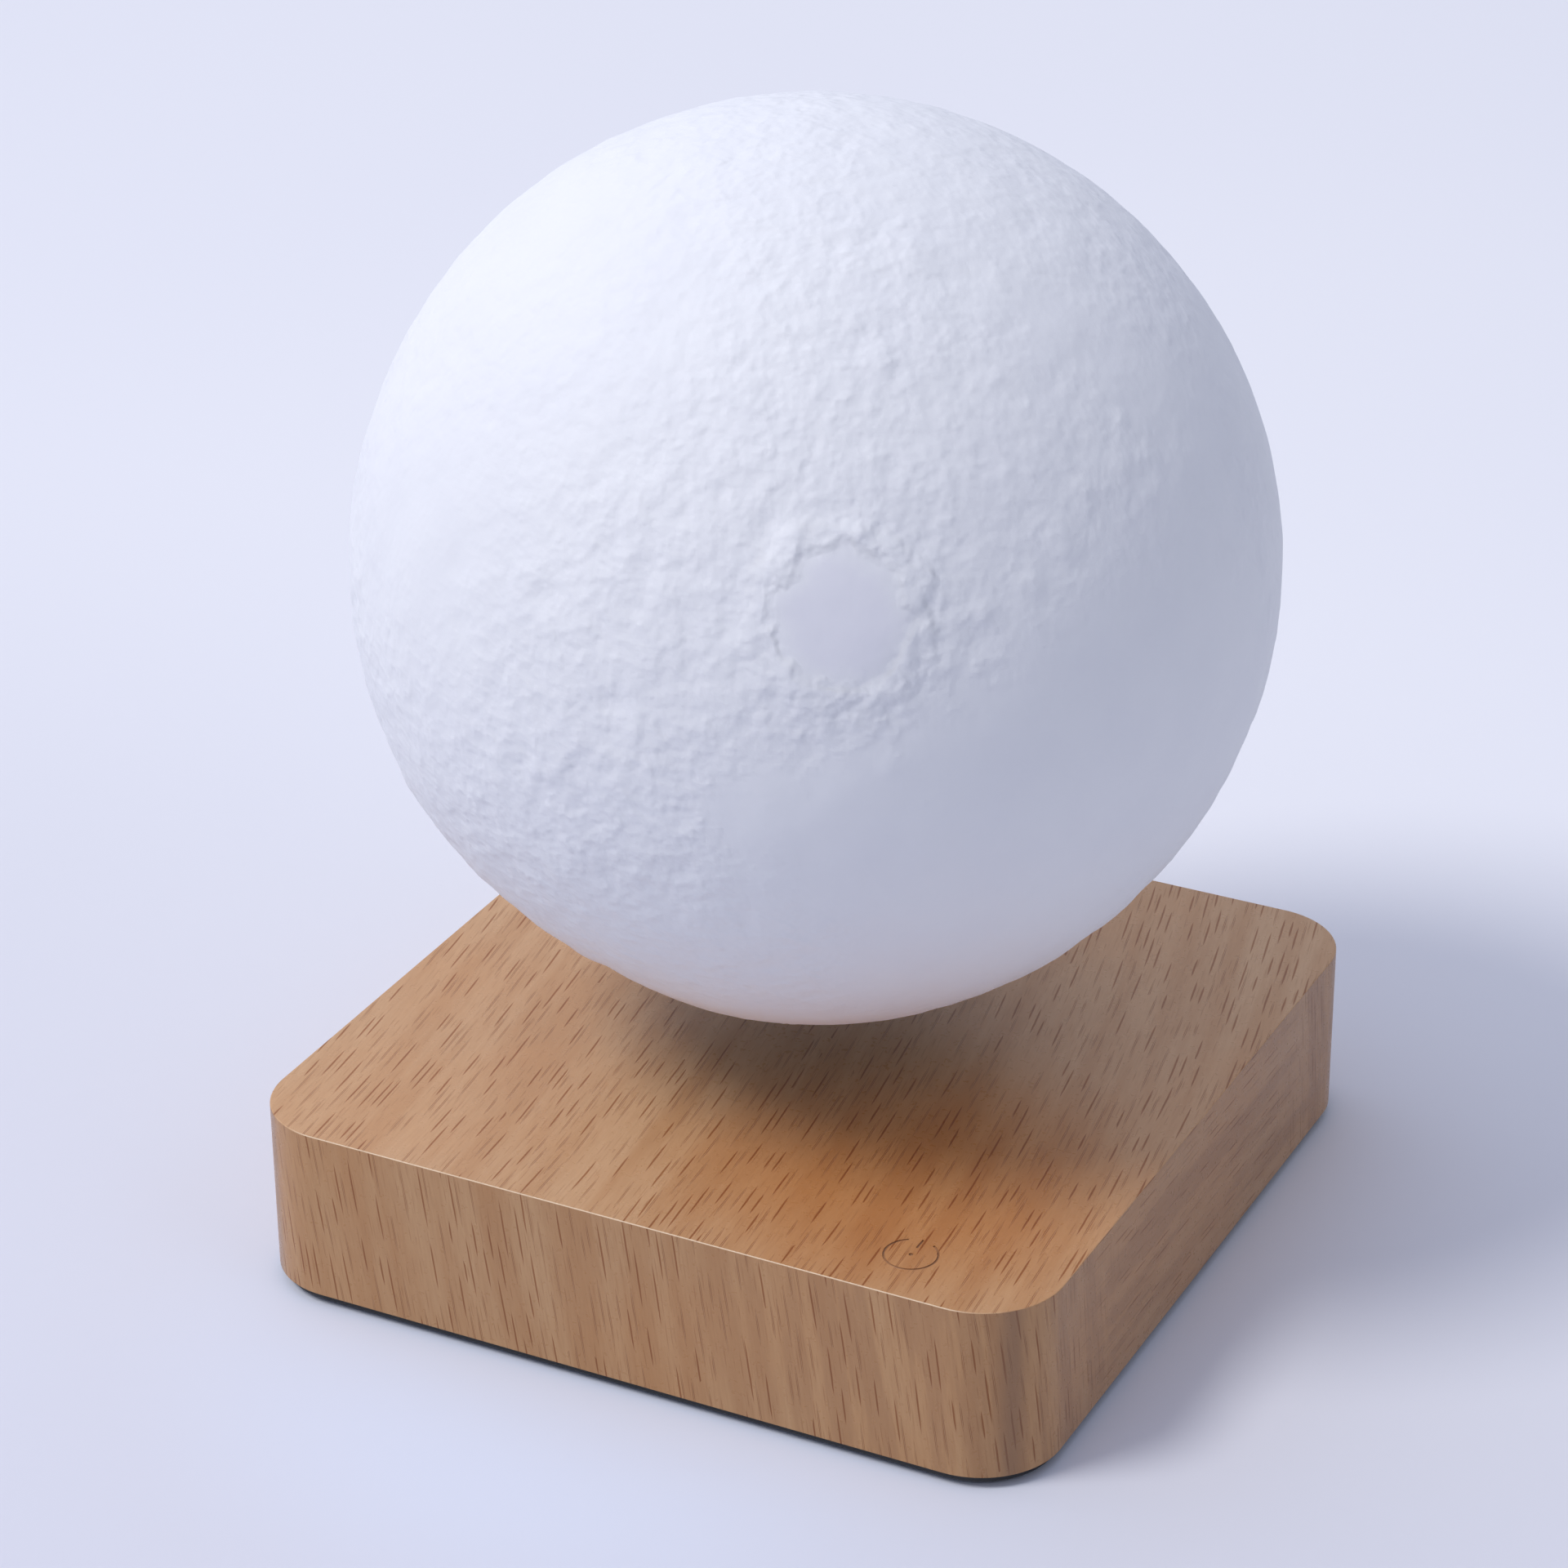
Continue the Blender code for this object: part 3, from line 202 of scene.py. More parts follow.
class Finish(Nodes):
    """A node material under construction."""

    def __init__(self, name):
        self.material = bpy.data.materials.new(name)
        self.material.use_nodes = True
        super().__init__(self.material.node_tree)
        self.shader = self.tree.nodes["Principled BSDF"]
        self.places = self.node("TexCoord").outputs["Object"]

    def plus(self, first, second):
        return self.maths("ADD", first, second)

    def minus(self, first, second, **settings):
        return self.maths("SUBTRACT", first, second, **settings)

    def times(self, first, second):
        return self.maths("MULTIPLY", first, second)

    def distance(self, places, goal):
        return self.node("VectorMath", {0: places, 1: goal}, operation="DISTANCE").outputs["Value"]

    def spread(self, value, low, high, start=0.0, end=1.0):
        """Map a value from one range to another, eased at both ends."""
        made = self.node("MapRange", {"Value": value, "From Min": low, "From Max": high, "To Min": start,
                                      "To Max": end}, interpolation_type="SMOOTHSTEP")
        return made.outputs["Result"]

    def apart(self, vector):
        made = self.node("SeparateXYZ", {0: vector})
        return made.outputs

    def together(self, x, y, z):
        return self.node("CombineXYZ", {0: x, 1: y, 2: z}).outputs[0]

    def scaled(self, vector, scale, turn=(0, 0, 0)):
        made = self.node("Mapping", {"Vector": vector, "Scale": scale, "Rotation": turn})
        return made.outputs[0]

    def clouds(self, vector, scale, detail=2.0, roughness=0.5):
        made = self.node("TexNoise", {"Vector": vector, "Scale": scale, "Detail": detail,
                                      "Roughness": roughness})
        return made.outputs["Fac"]

    def blend(self, share, first, second, way="MIX"):
        made = self.node("Mix", data_type="RGBA", blend_type=way)
        for place, value in ((0, share), (6, first), (7, second)):
            self.feed(made.inputs[place], (*value, 1) if isinstance(value, tuple) else value)
        return made.outputs[2]

    def bump(self, height, distance, strength, under=None):
        made = self.node("Bump", {"Height": height, "Distance": distance, "Strength": strength})
        if under:
            self.feed(made.inputs["Normal"], under)
        return made.outputs["Normal"]

    def worn_edges(self, radius):
        """How far the surface is from flat near by: 0 on faces, rising at edges."""
        rounded = self.node("Bevel", {"Radius": radius}, samples=4).outputs[0]
        straight = self.node("NewGeometry").outputs["Normal"]
        facing = self.node("VectorMath", {0: rounded, 1: straight}, operation="DOT_PRODUCT")
        return self.spread(self.minus(1.0, facing.outputs["Value"]), 0.02, 0.25)

    def wear(self, **values):
        """Set the shader's own sockets, by name with underscores for spaces."""
        for key, value in values.items():
            self.feed(self.shader.inputs[key.replace("_", " ")], value)
        return self.material


# Tones of the wood film, with its painted shade and painted highlight
PALE_BAND = (0.74, 0.43, 0.215)
DARK_BAND = (0.64, 0.335, 0.15)
BROAD_STAIN = (0.70, 0.335, 0.13)
FIBRE = (0.50, 0.23, 0.095)
WALL_STREAK = (0.50, 0.27, 0.14)
PORE = (0.55, 0.36, 0.22)
PORE_MIDDLE = (0.86, 0.60, 0.35)
PAINTED_GROOVE_SHADE = (0.26, 0.15, 0.09)
PAINTED_EDGE_HIGHLIGHT = (0.80, 0.62, 0.42)
# Painted shade: the top film is darker and more orange in front of the globe, standing in for the globe's dim
# reflection there
PAINTED_FRONT_SHADE = (0.87, 0.65, 0.43)
PAINTED_FRONT_SHADE_PLACE = (0.038, -0.042, WOOD_TOP)
TOP_BORDER = (WOOD_HALF - 0.004, WOOD_HALF - 0.002)


def drawn_out(finish, across, along, wide, long, seed, detail, roughness=0.5):
    """Noise drawn out along the grain. Wide and long say how often it changes, in each metre."""
    places = finish.together(finish.times(across, wide), finish.times(along, long), seed)
    return finish.clouds(places, 1.0, detail, roughness)


def strokes(finish, across, along, seed, pitch, length, thick, share, crowd):
    """Slim strokes along the grain, one in some cells of a loose lattice, and their pale middles."""
    column = finish.plus(finish.maths("DIVIDE", across, pitch), seed * 7.3)
    number = finish.maths("FLOOR", column)
    slide = finish.node("TexWhiteNoise", {"W": number}, noise_dimensions="1D").outputs["Value"]
    row = finish.plus(finish.maths("DIVIDE", along, length), finish.times(slide, 9.7))
    cell = finish.together(number, finish.maths("FLOOR", row), seed)
    dice = finish.node("TexWhiteNoise", {"Vector": cell}, noise_dimensions="3D").outputs["Color"]
    chance, place, size = finish.node("SeparateColor", {0: dice}).outputs
    kept = finish.maths("LESS_THAN", finish.plus(chance, crowd), share)
    beside = finish.minus(finish.maths("FRACT", column), 0.5)
    beside = finish.plus(beside, finish.times(finish.minus(place, 0.5), 0.6))
    ragged = finish.minus(drawn_out(finish, across, along, 700.0, 300.0, seed, 1.0), 0.5)
    beside = finish.plus(finish.times(beside, pitch), finish.times(ragged, thick * 0.6))
    beside = finish.maths("ABSOLUTE", beside)
    half = finish.plus(0.22, finish.times(size, 0.27))
    ends = finish.maths("DIVIDE", finish.minus(finish.maths("FRACT", row), 0.5), half)
    taper = finish.minus(1.0, finish.maths("POWER", finish.maths("ABSOLUTE", ends), 3.0))
    inside = finish.minus(finish.times(taper, thick), beside)
    core = finish.times(finish.spread(inside, -0.00004, 0.0001), kept)
    double = finish.times(kept, finish.maths("GREATER_THAN", place, 0.45))
    double = finish.times(finish.spread(taper, 0.3, 0.7), double)
    middle = finish.times(finish.spread(beside, thick * 0.1, thick * 0.5, 1.0, 0.0), double)
    return finish.minus(core, finish.times(middle, 0.75), use_clamp=True), middle


def grain(finish, across, along, seed, pitch, length, thick, share, waver):
    """Wood grain along one direction: pores, their pale middles, soft bands of tone and fine fibre."""
    drift = finish.minus(drawn_out(finish, across, along, 60.0, 22.0, seed, 1.0), 0.5)
    across = finish.plus(across, finish.times(drift, waver * 2))
    crowd = finish.minus(drawn_out(finish, across, along, 120.0, 40.0, seed + 1, 2.0), 0.5)
    crowd = finish.times(crowd, 0.6)
    pores, middles = strokes(finish, across, along, seed, pitch, length, thick, share, crowd)
    small, _ = strokes(finish, across, along, seed + 2, pitch * 0.63, length * 0.47, thick * 0.6,
                       share * 0.8, crowd)
    pores = finish.maths("MAXIMUM", pores, finish.times(small, 0.4))
    bands = drawn_out(finish, across, along, 170.0, 12.0, seed + 3, 3.0, 0.6)
    fibre = drawn_out(finish, across, along, 2400.0, 200.0, seed + 7, 2.0)
    return pores, middles, bands, fibre


def wood_film(name, lay, shade, sheen, pore_share, painted_front_shade=0.0):
    """Printed beech-like film. Lay gives the grain, and on the walls a second grain with its share."""
    finish = Finish(name)
    first, second, share = lay(finish)
    if second:
        rest = finish.minus(1.0, share)
        first = [finish.plus(finish.times(one, rest), finish.times(other, share))
                 for one, other in zip(first, second)]
    pores, middles, bands, fibre = first
    x, y, height = finish.apart(finish.places)
    aside, ahead = finish.maths("ABSOLUTE", x), finish.maths("ABSOLUTE", y)
    broad = finish.clouds(finish.places, 26.0)
    tone = finish.blend(finish.spread(bands, 0.34, 0.66), PALE_BAND, DARK_BAND)
    tone = finish.blend(finish.spread(broad, 0.35, 0.7, 0.0, 0.35), tone, BROAD_STAIN)
    tone = finish.blend(finish.spread(fibre, 0.3, 0.7, 0.0, 0.18), tone, FIBRE)
    if not painted_front_shade:
        streaky = finish.times(finish.spread(bands, 0.46, 0.54), finish.spread(x, 0.0, 0.05, 0.0, 0.35))
        tone = finish.blend(streaky, tone, WALL_STREAK)
    tone = finish.blend(finish.times(middles, 0.4), tone, PORE_MIDDLE)
    tone = finish.blend(finish.times(pores, pore_share), tone, PORE, "MULTIPLY")
    # Shade tints the whole film; the walls' darker shade is painted shade on the walls
    tone = finish.blend(1.0, tone, shade, "MULTIPLY")
    # Painted shade: darker, more orange film in front of the globe, where the globe's reflection dims the
    # sheen
    if painted_front_shade:
        painted_front_shade_mask = finish.spread(finish.distance(finish.places, PAINTED_FRONT_SHADE_PLACE), 0.012, 0.048, painted_front_shade, 0.0)
        tone = finish.blend(painted_front_shade_mask, tone, PAINTED_FRONT_SHADE, "MULTIPLY")
    # Painted shade in the power mark's groove: darker the deeper the groove, away from the top's borders
    painted_groove_shade = finish.spread(height, WOOD_TOP - 0.00012, WOOD_TOP - 0.00002, 0.5, 0.0)
    inner = finish.spread(aside, *TOP_BORDER, 1.0, 0.0)
    front = finish.spread(ahead, *TOP_BORDER)
    painted_groove_shade = finish.times(painted_groove_shade, finish.times(inner, finish.minus(1.0, front)))
    tone = finish.blend(painted_groove_shade, tone, PAINTED_GROOVE_SHADE)
    # Painted highlight: a cream line on the small rounding of the front and back top edges, weaker past the
    # corners
    tilt = finish.apart(finish.node("NewGeometry").outputs["True Normal"])[2]
    edge = finish.times(finish.spread(tilt, 0.2, 0.4), finish.spread(tilt, 0.9, 0.97, 1.0, 0.0))
    edge = finish.times(edge, finish.times(front, finish.spread(aside, 0.057, 0.063, 0.8, 0.15)))
    tone = finish.blend(edge, tone, PAINTED_EDGE_HIGHLIGHT)
    rough = finish.spread(finish.clouds(finish.places, 900.0), 0.3, 0.7, 0.27, 0.35)
    rough = finish.plus(rough, finish.times(pores, 0.08))
    depth = finish.minus(finish.times(fibre, 0.15), finish.times(pores, 0.7))
    return finish.wear(Base_Color=tone, Roughness=rough, Normal=finish.bump(depth, 0.00003, 0.5), IOR=sheen)


def lay_top(finish):
    """On top the grain runs to the back and leans left as it goes."""
    x, y, _ = finish.apart(finish.places)
    lean = finish.times(y, finish.plus(0.168, finish.times(y, 0.68)))
    top = grain(finish, finish.plus(x, lean), y, seed=2.0, pitch=0.00145, length=0.0125, thick=0.0002,
                share=0.7, waver=0.0007)
    return top, None, None


def lay_walls(finish):
    """On the front and back the grain is upright. On the sides it turns level past the corners."""
    way, height, _ = finish.apart(finish.node("UVMap", uv_map="way_round").outputs[0])
    lean = finish.plus(way, finish.times(height, 0.14))
    upright = grain(finish, lean, height, seed=5.0, pitch=0.0015, length=0.0125, thick=0.00018,
                    share=0.72, waver=0.0006)
    level = grain(finish, height, way, seed=9.0, pitch=0.0013, length=0.009, thick=0.00016,
                  share=0.6, waver=0.0006)
    x, y, _ = finish.apart(finish.places)
    past = finish.minus(finish.maths("ABSOLUTE", x), finish.maths("ABSOLUTE", y))
    ragged = finish.times(finish.minus(finish.clouds(finish.places, 120.0), 0.5), 0.03)
    return upright, level, finish.spread(finish.plus(past, ragged), 0.010, 0.044)


def moulded(name, colour, rough, texture=2500.0, depth=0.00002, edge_light=0.25, metallic=0.0, edge=0.0003,
            streak=None, **more):
    """A moulded, cast or plated finish with a fine surface, small changes of tone and rubbed edges."""
    finish = Finish(name)
    patches = finish.clouds(finish.places, 180.0, 3.0, 0.6)
    stretched = finish.scaled(finish.places, streak) if streak else finish.places
    fine = finish.clouds(stretched, texture, 3.0, 0.6)
    darker = tuple(value * 0.86 for value in colour)
    lighter = tuple(min(value * 1.12 + 0.004, 1.0) for value in colour)
    tone = finish.blend(finish.spread(patches, 0.3, 0.7), darker, lighter)
    rubbed = tuple(value + (1 - value) * edge_light for value in colour)
    tone = finish.blend(finish.times(finish.worn_edges(edge), 0.8), tone, rubbed)
    roughness = finish.spread(fine, 0.25, 0.75, max(rough - 0.08, 0.04), min(rough + 0.08, 1.0))
    return finish.wear(Base_Color=tone, Roughness=roughness, Metallic=metallic,
                       Normal=finish.bump(fine, depth, 0.5), **more)


def moon_print():
    """Matte white print: lumps and grit on rough land, level print lines, the round plain's rim, and painted
    shade on the round plain.
    """
    finish = Finish("white_print")
    rough_share = finish.node("Attribute", attribute_name="roughness_of_land").outputs["Fac"]
    centred = finish.node("VectorMath", {0: finish.places, 1: tuple(GLOBE_CENTRE)}, operation="SUBTRACT")
    centred = centred.outputs[0]
    turned = finish.scaled(centred, (1.0, 1.0, 1.0), (0.7, 0.4, 1.1))
    lumps = finish.plus(finish.clouds(centred, 420.0, 1.0, 0.45), finish.clouds(turned, 360.0, 1.0, 0.45))
    lumps = finish.times(lumps, 0.68)
    lumps = finish.times(lumps, lumps)
    grit = finish.clouds(centred, 950.0, 1.0)
    lines = finish.clouds(finish.scaled(centred, (130, 130, 1500)), 1.0, 2.0, 0.6)
    patchy = finish.spread(finish.clouds(centred, 45.0), 0.4, 0.65, 0.25, 1.0)
    normal = finish.bump(finish.times(lines, patchy), 0.00005, 0.5)
    rough_land = finish.times(finish.plus(finish.times(grit, 0.16), lumps), rough_share)
    normal = finish.bump(rough_land, 0.0005, 0.8, normal)
    patches = finish.spread(finish.clouds(centred, 70.0, 3.0), 0.35, 0.7)
    tone = finish.blend(patches, (0.87, 0.88, 0.905), (0.855, 0.865, 0.895))
    turn, lift, reach = ROUND_PLAIN
    edge = math.radians(reach) * GLOBE_RADIUS
    away = finish.distance(centred, tuple(compass(turn, lift) * GLOBE_RADIUS))
    away = finish.maths("MULTIPLY_ADD", finish.clouds(centred, 220.0), -0.006, away)
    away = finish.plus(away, 0.003)
    # Painted shade: the round plain is a little darker than the land round it
    painted_shade_plain = finish.spread(away, edge - 0.005, edge, 1.0, 0.0)
    tone = finish.blend(painted_shade_plain, tone, (0.955, 0.945, 0.98), "MULTIPLY")
    rim = finish.times(finish.spread(away, edge - 0.0015, edge + 0.001),
                       finish.spread(away, edge + 0.0015, edge + 0.005, 1.0, 0.0))
    normal = finish.bump(rim, 0.0006, 0.7, normal)
    roughness = finish.spread(finish.clouds(centred, 500.0), 0.3, 0.7, 0.62, 0.78)
    return finish.wear(Base_Color=tone, Roughness=roughness, Normal=normal, IOR=1.46)


def finishes():
    """One material for each finish that the record names, but for the wood film, which lay_film makes."""
    board = Finish("circuit_board")
    lines = board.node("TexBrick", {"Vector": board.places, "Scale": 260.0, "Mortar Size": 0.06,
                                    "Mortar Smooth": 0.3, "Color1": (0.004, 0.075, 0.03, 1),
                                    "Color2": (0.006, 0.11, 0.045, 1), "Mortar": (0.012, 0.19, 0.08, 1)})
    speckle = board.clouds(board.places, 1500.0, 2.0)
    tone = board.blend(board.spread(speckle, 0.35, 0.7, 0.0, 0.4), lines.outputs["Color"], (0.01, 0.14, 0.06))
    board.wear(Base_Color=tone, Roughness=board.spread(speckle, 0.3, 0.7, 0.28, 0.42), Coat_Weight=0.4,
               Normal=board.bump(lines.outputs["Fac"], 0.00003, 0.5))
    copper = Finish("copper_wire")
    wire = 0.0005
    turns = copper.maths("SINE", copper.times(copper.apart(copper.places)[2], 2 * math.pi / wire))
    uneven = copper.clouds(copper.places, 700.0, 2.0)
    tone = copper.blend(copper.spread(turns, -0.6, 0.9), (0.30, 0.085, 0.03), (0.62, 0.24, 0.10))
    tone = copper.blend(copper.spread(uneven, 0.4, 0.7, 0.0, 0.4), tone, (0.48, 0.15, 0.05))
    copper.wear(Base_Color=tone, Metallic=0.85, Roughness=copper.spread(uneven, 0.3, 0.7, 0.28, 0.42),
                Normal=copper.bump(turns, 0.0001, 0.6))
    lens = Finish("led_lens")
    glow = lens.clouds(lens.places, 800.0, 2.0)
    tone = lens.blend(lens.spread(glow, 0.3, 0.7), (0.80, 0.66, 0.22), (0.88, 0.78, 0.36))
    tone = lens.blend(lens.times(lens.worn_edges(0.0004), 0.8), tone, (0.9, 0.9, 0.88))
    lens.wear(Base_Color=tone, Roughness=lens.spread(glow, 0.3, 0.7, 0.2, 0.34), Subsurface_Weight=0.4,
              Subsurface_Radius=(1.0, 0.8, 0.4), Subsurface_Scale=0.001, Normal=lens.bump(glow, 0.00002, 0.4))
    return {
        "circuit_board": board.material,
        "copper_wire": copper.material,
        "led_lens": lens.material,
        "white_print": moon_print(),
        "black_plastic": moulded("black_plastic", (0.014, 0.014, 0.016), 0.48, 3200.0, 0.00002, 0.12),
        "rubber": moulded("rubber", (0.02, 0.02, 0.021), 0.85, 2600.0, 0.00003, 0.06),
        "screw_steel": moulded("screw_steel", (0.50, 0.51, 0.53), 0.32, 1800.0, 0.000008, 0.5, 1.0, 0.0002),
        "grey_plastic": moulded("grey_plastic", (0.16, 0.165, 0.175), 0.5, 2800.0, 0.00002, 0.2),
        "ferrite": moulded("ferrite", (0.045, 0.045, 0.05), 0.72, 1400.0, 0.00005, 0.15),
        "core_iron": moulded("core_iron", (0.36, 0.36, 0.37), 0.42, 1500.0, 0.00001, 0.4, 1.0),
        "chip_plastic": moulded("chip_plastic", (0.018, 0.018, 0.02), 0.6, 4200.0, 0.00001, 0.15),
        "capacitor_sleeve": moulded("capacitor_sleeve", (0.02, 0.025, 0.06), 0.3, 900.0, 0.000008, 0.3,
                                    Coat_Weight=0.3),
        "heat_sink_aluminium": moulded("heat_sink_aluminium", (0.62, 0.63, 0.65), 0.38, 500.0, 0.000012,
                                       0.4, 1.0, streak=(1.0, 0.06, 1.0)),
        "ribbon_plastic": moulded("ribbon_plastic", (0.34, 0.35, 0.37), 0.42, 900.0, 0.00006, 0.2,
                                  streak=(1.0, 0.02, 0.02)),
        "wire_insulation": moulded("wire_insulation", (0.42, 0.02, 0.018), 0.4, 1200.0, 0.00001, 0.2),
        "magnet_plating": moulded("magnet_plating", (0.62, 0.61, 0.58), 0.2, 1200.0, 0.000006, 0.4, 1.0),
        "white_plastic": moulded("white_plastic", (0.80, 0.81, 0.83), 0.5, 1600.0, 0.00002, 0.4,
                                 Subsurface_Weight=0.2, Subsurface_Radius=(1.0, 0.95, 0.9),
                                 Subsurface_Scale=0.002),
    }


# Wood-grain housing

def way_round(x, y):
    """Length along the base's outline, from the left end of the front left corner."""
    straight = 2 * STRAIGHT_HALF
    if x < -STRAIGHT_HALF and y < -STRAIGHT_HALF:
        return BASE_CORNER * math.atan2(-y - STRAIGHT_HALF, -x - STRAIGHT_HALF)
    if y < -STRAIGHT_HALF and x <= STRAIGHT_HALF:
        return CORNER_ARC + x + STRAIGHT_HALF
    if y < -STRAIGHT_HALF:
        return CORNER_ARC + straight + BASE_CORNER * math.atan2(x - STRAIGHT_HALF, -y - STRAIGHT_HALF)
    if x > STRAIGHT_HALF and y <= STRAIGHT_HALF:
        return 2 * CORNER_ARC + straight + y + STRAIGHT_HALF
    if x > STRAIGHT_HALF:
        return 2 * CORNER_ARC + 2 * straight + BASE_CORNER * math.atan2(y - STRAIGHT_HALF, x - STRAIGHT_HALF)
    if y > STRAIGHT_HALF and x >= -STRAIGHT_HALF:
        return 3 * CORNER_ARC + 2 * straight + STRAIGHT_HALF - x
    if y > STRAIGHT_HALF:
        return 3 * CORNER_ARC + 3 * straight + BASE_CORNER * math.atan2(-x - STRAIGHT_HALF, y - STRAIGHT_HALF)
    return 4 * CORNER_ARC + 3 * straight + STRAIGHT_HALF - y


def mark_tool():
    """The tool that engraves the power mark: an open ring, a bar and a dot."""
    middle = MARK_PLACE - Vector((0, 0, MARK_DEPTH))
    bpy.ops.mesh.primitive_torus_add(major_segments=90, minor_segments=12, major_radius=MARK_RADIUS,
                                     minor_radius=MARK_LINE, location=middle)
    ring = named("mark_ring")
    pick(ring, "FACE", lambda centre, normal: centre.y > middle.y
         and abs(centre.x - middle.x) < MARK_RADIUS * math.sin(MARK_OPENING))
    bpy.ops.mesh.delete(type="FACE")
    object_mode()
    close_ends(ring)
    bpy.ops.mesh.primitive_cylinder_add(vertices=12, radius=MARK_LINE, depth=MARK_BAR,
                                        location=middle + Vector((0, MARK_BAR_PLACE, 0)),
                                        rotation=(math.pi / 2, 0, 0))
    bar = named("mark_bar")
    bpy.ops.mesh.primitive_uv_sphere_add(segments=16, ring_count=8, radius=MARK_DOT, location=middle)
    dot = named("mark_dot")
    join_into(ring, [bar, dot])
    return ring


def close_ends(piece):
    """Cap what is open and turn every face outwards."""
    activate(piece)
    bpy.ops.object.mode_set(mode="EDIT")
    bpy.ops.mesh.select_mode(type="EDGE")
    bpy.ops.mesh.select_all(action="SELECT")
    bpy.ops.mesh.fill_holes(sides=0)
    bpy.ops.mesh.select_all(action="SELECT")
    bpy.ops.mesh.normals_make_consistent(inside=False)
    object_mode()


def wood_housing():
    """Box with round corners, a hollow under its top, screw bosses, the inlet hole and the engraved mark."""
    middle = (WOOD_LOW + WOOD_HIGH) / 2
    bpy.ops.mesh.primitive_cube_add(size=1, location=middle, scale=WOOD_HIGH - WOOD_LOW)
    housing = named("wood_housing")
    pick(housing, "EDGE", lambda a, b: abs(a.z - b.z) > SIDE_WALL)
    bpy.ops.mesh.bevel(offset=BASE_CORNER, segments=20, affect="EDGES")
    object_mode()
    pick(housing, "EDGE", lambda a, b: near(a.z, WOOD_TOP) and near(b.z, WOOD_TOP))
    bpy.ops.mesh.bevel(offset=TOP_ROUND, segments=5, affect="EDGES")
    object_mode()
    rim = 0.0003
    pick(housing, "FACE", lambda centre, normal: normal.z < -0.9)
    bpy.ops.mesh.inset(thickness=rim)
    bpy.ops.mesh.inset(thickness=SIDE_WALL - rim)
    bpy.ops.mesh.extrude_region_move(TRANSFORM_OT_translate={"value": (0, 0, CEILING - WOOD_LOW.z)})
    object_mode()
    for x in (-BOSS_PLACE, BOSS_PLACE):
        for y in (-BOSS_PLACE, BOSS_PLACE):
            cut_with(housing, boss(x, y), "UNION")
    cut_with(housing, inlet_hole())
    cut_with(housing, mark_tool())
    lay_film(housing)
    smooth(housing, 40)
    even_shading(housing)
    return housing


def boss(x, y):
    """Screw boss with its bore, sunk a little into the ceiling."""
    high = CEILING + 0.001
    bpy.ops.mesh.primitive_cylinder_add(vertices=32, radius=BOSS_RADIUS, depth=high - BOSS_LOW,
                                        location=(x, y, (high + BOSS_LOW) / 2))
    made = named("boss")
    pick(made, "FACE", lambda centre, normal: normal.z < -0.9)
    bpy.ops.mesh.inset(thickness=BOSS_RIM)
    bpy.ops.mesh.extrude_region_move(TRANSFORM_OT_translate={"value": (0, 0, BORE_DEPTH)})
    object_mode()
    return made


def inlet_hole():
    """Rod that cuts the inlet hole, wider at the outside for a small chamfer."""
    bpy.ops.mesh.primitive_cylinder_add(vertices=64, radius=INLET_RADIUS, depth=0.006,
                                        location=(0, WOOD_HALF - 0.0032, JACK_AXIS),
                                        rotation=(math.pi / 2, 0, 0))
    made = named("inlet_hole")
    pick(made, "FACE", lambda centre, normal: normal.y > 0.9)
    bpy.ops.mesh.extrude_region_move(TRANSFORM_OT_translate={"value": (0, INLET_FLARE_DEPTH, 0)})
    bpy.ops.transform.resize(value=(INLET_FLARE, 1, INLET_FLARE),
                             center_override=(0, WOOD_HALF, JACK_AXIS))
    object_mode()
    return made


def lay_film(housing):
    """Top film, wall film and bare inside, with the walls' own map."""
    mesh = housing.data
    mesh.materials.clear()
    # The walls' film is a darker copy of the top's film: painted shade on the walls
    for finish in (wood_film("wood_film_top", lay_top, shade=(0.84, 0.89, 0.95), sheen=1.42,
                             pore_share=0.95, painted_front_shade=0.9),
                   wood_film("wood_film_walls_painted_shade", lay_walls, shade=(0.715, 0.72, 0.705), sheen=1.4,
                             pore_share=0.9),
                   moulded("housing_inside", (0.05, 0.035, 0.025), 0.6)):
        mesh.materials.append(finish)
    unwrapped = mesh.uv_layers.new(name="way_round")
    whole = 4 * CORNER_ARC + 8 * STRAIGHT_HALF
    for face in mesh.polygons:
        depth = BASE_CORNER - math.hypot(max(abs(face.center.x) - STRAIGHT_HALF, 0),
                                         max(abs(face.center.y) - STRAIGHT_HALF, 0))
        outside = depth < 0.001 or face.center.z > CEILING + 0.0005
        on_top = depth > 0.001 or face.normal.z > 0.7
        face.material_index = 2 if not outside else 0 if on_top else 1
        on_left = face.center.x < -STRAIGHT_HALF and face.center.y > -STRAIGHT_HALF
        for loop in face.loop_indices:
            place = mesh.vertices[mesh.loops[loop].vertex_index].co
            way = way_round(place.x, place.y)
            if on_left and way < whole / 2:
                way += whole
            unwrapped.data[loop].uv = (way, place.z)


# Globe

def compass(turn, lift):
    """Direction for a turn from +X and a lift over the equator, in degrees."""
    turn, lift = math.radians(turn), math.radians(lift)
    return np.array((math.cos(lift) * math.cos(turn), math.cos(lift) * math.sin(turn), math.sin(lift)))


def eased(values):
    values = np.clip(values, 0, 1)
    return values * values * (3 - 2 * values)


def away_from(directions, turn, lift):
    """Degrees between each direction and a place on the globe."""
    return np.degrees(np.arccos(np.clip(directions @ compass(turn, lift), -1, 1)))


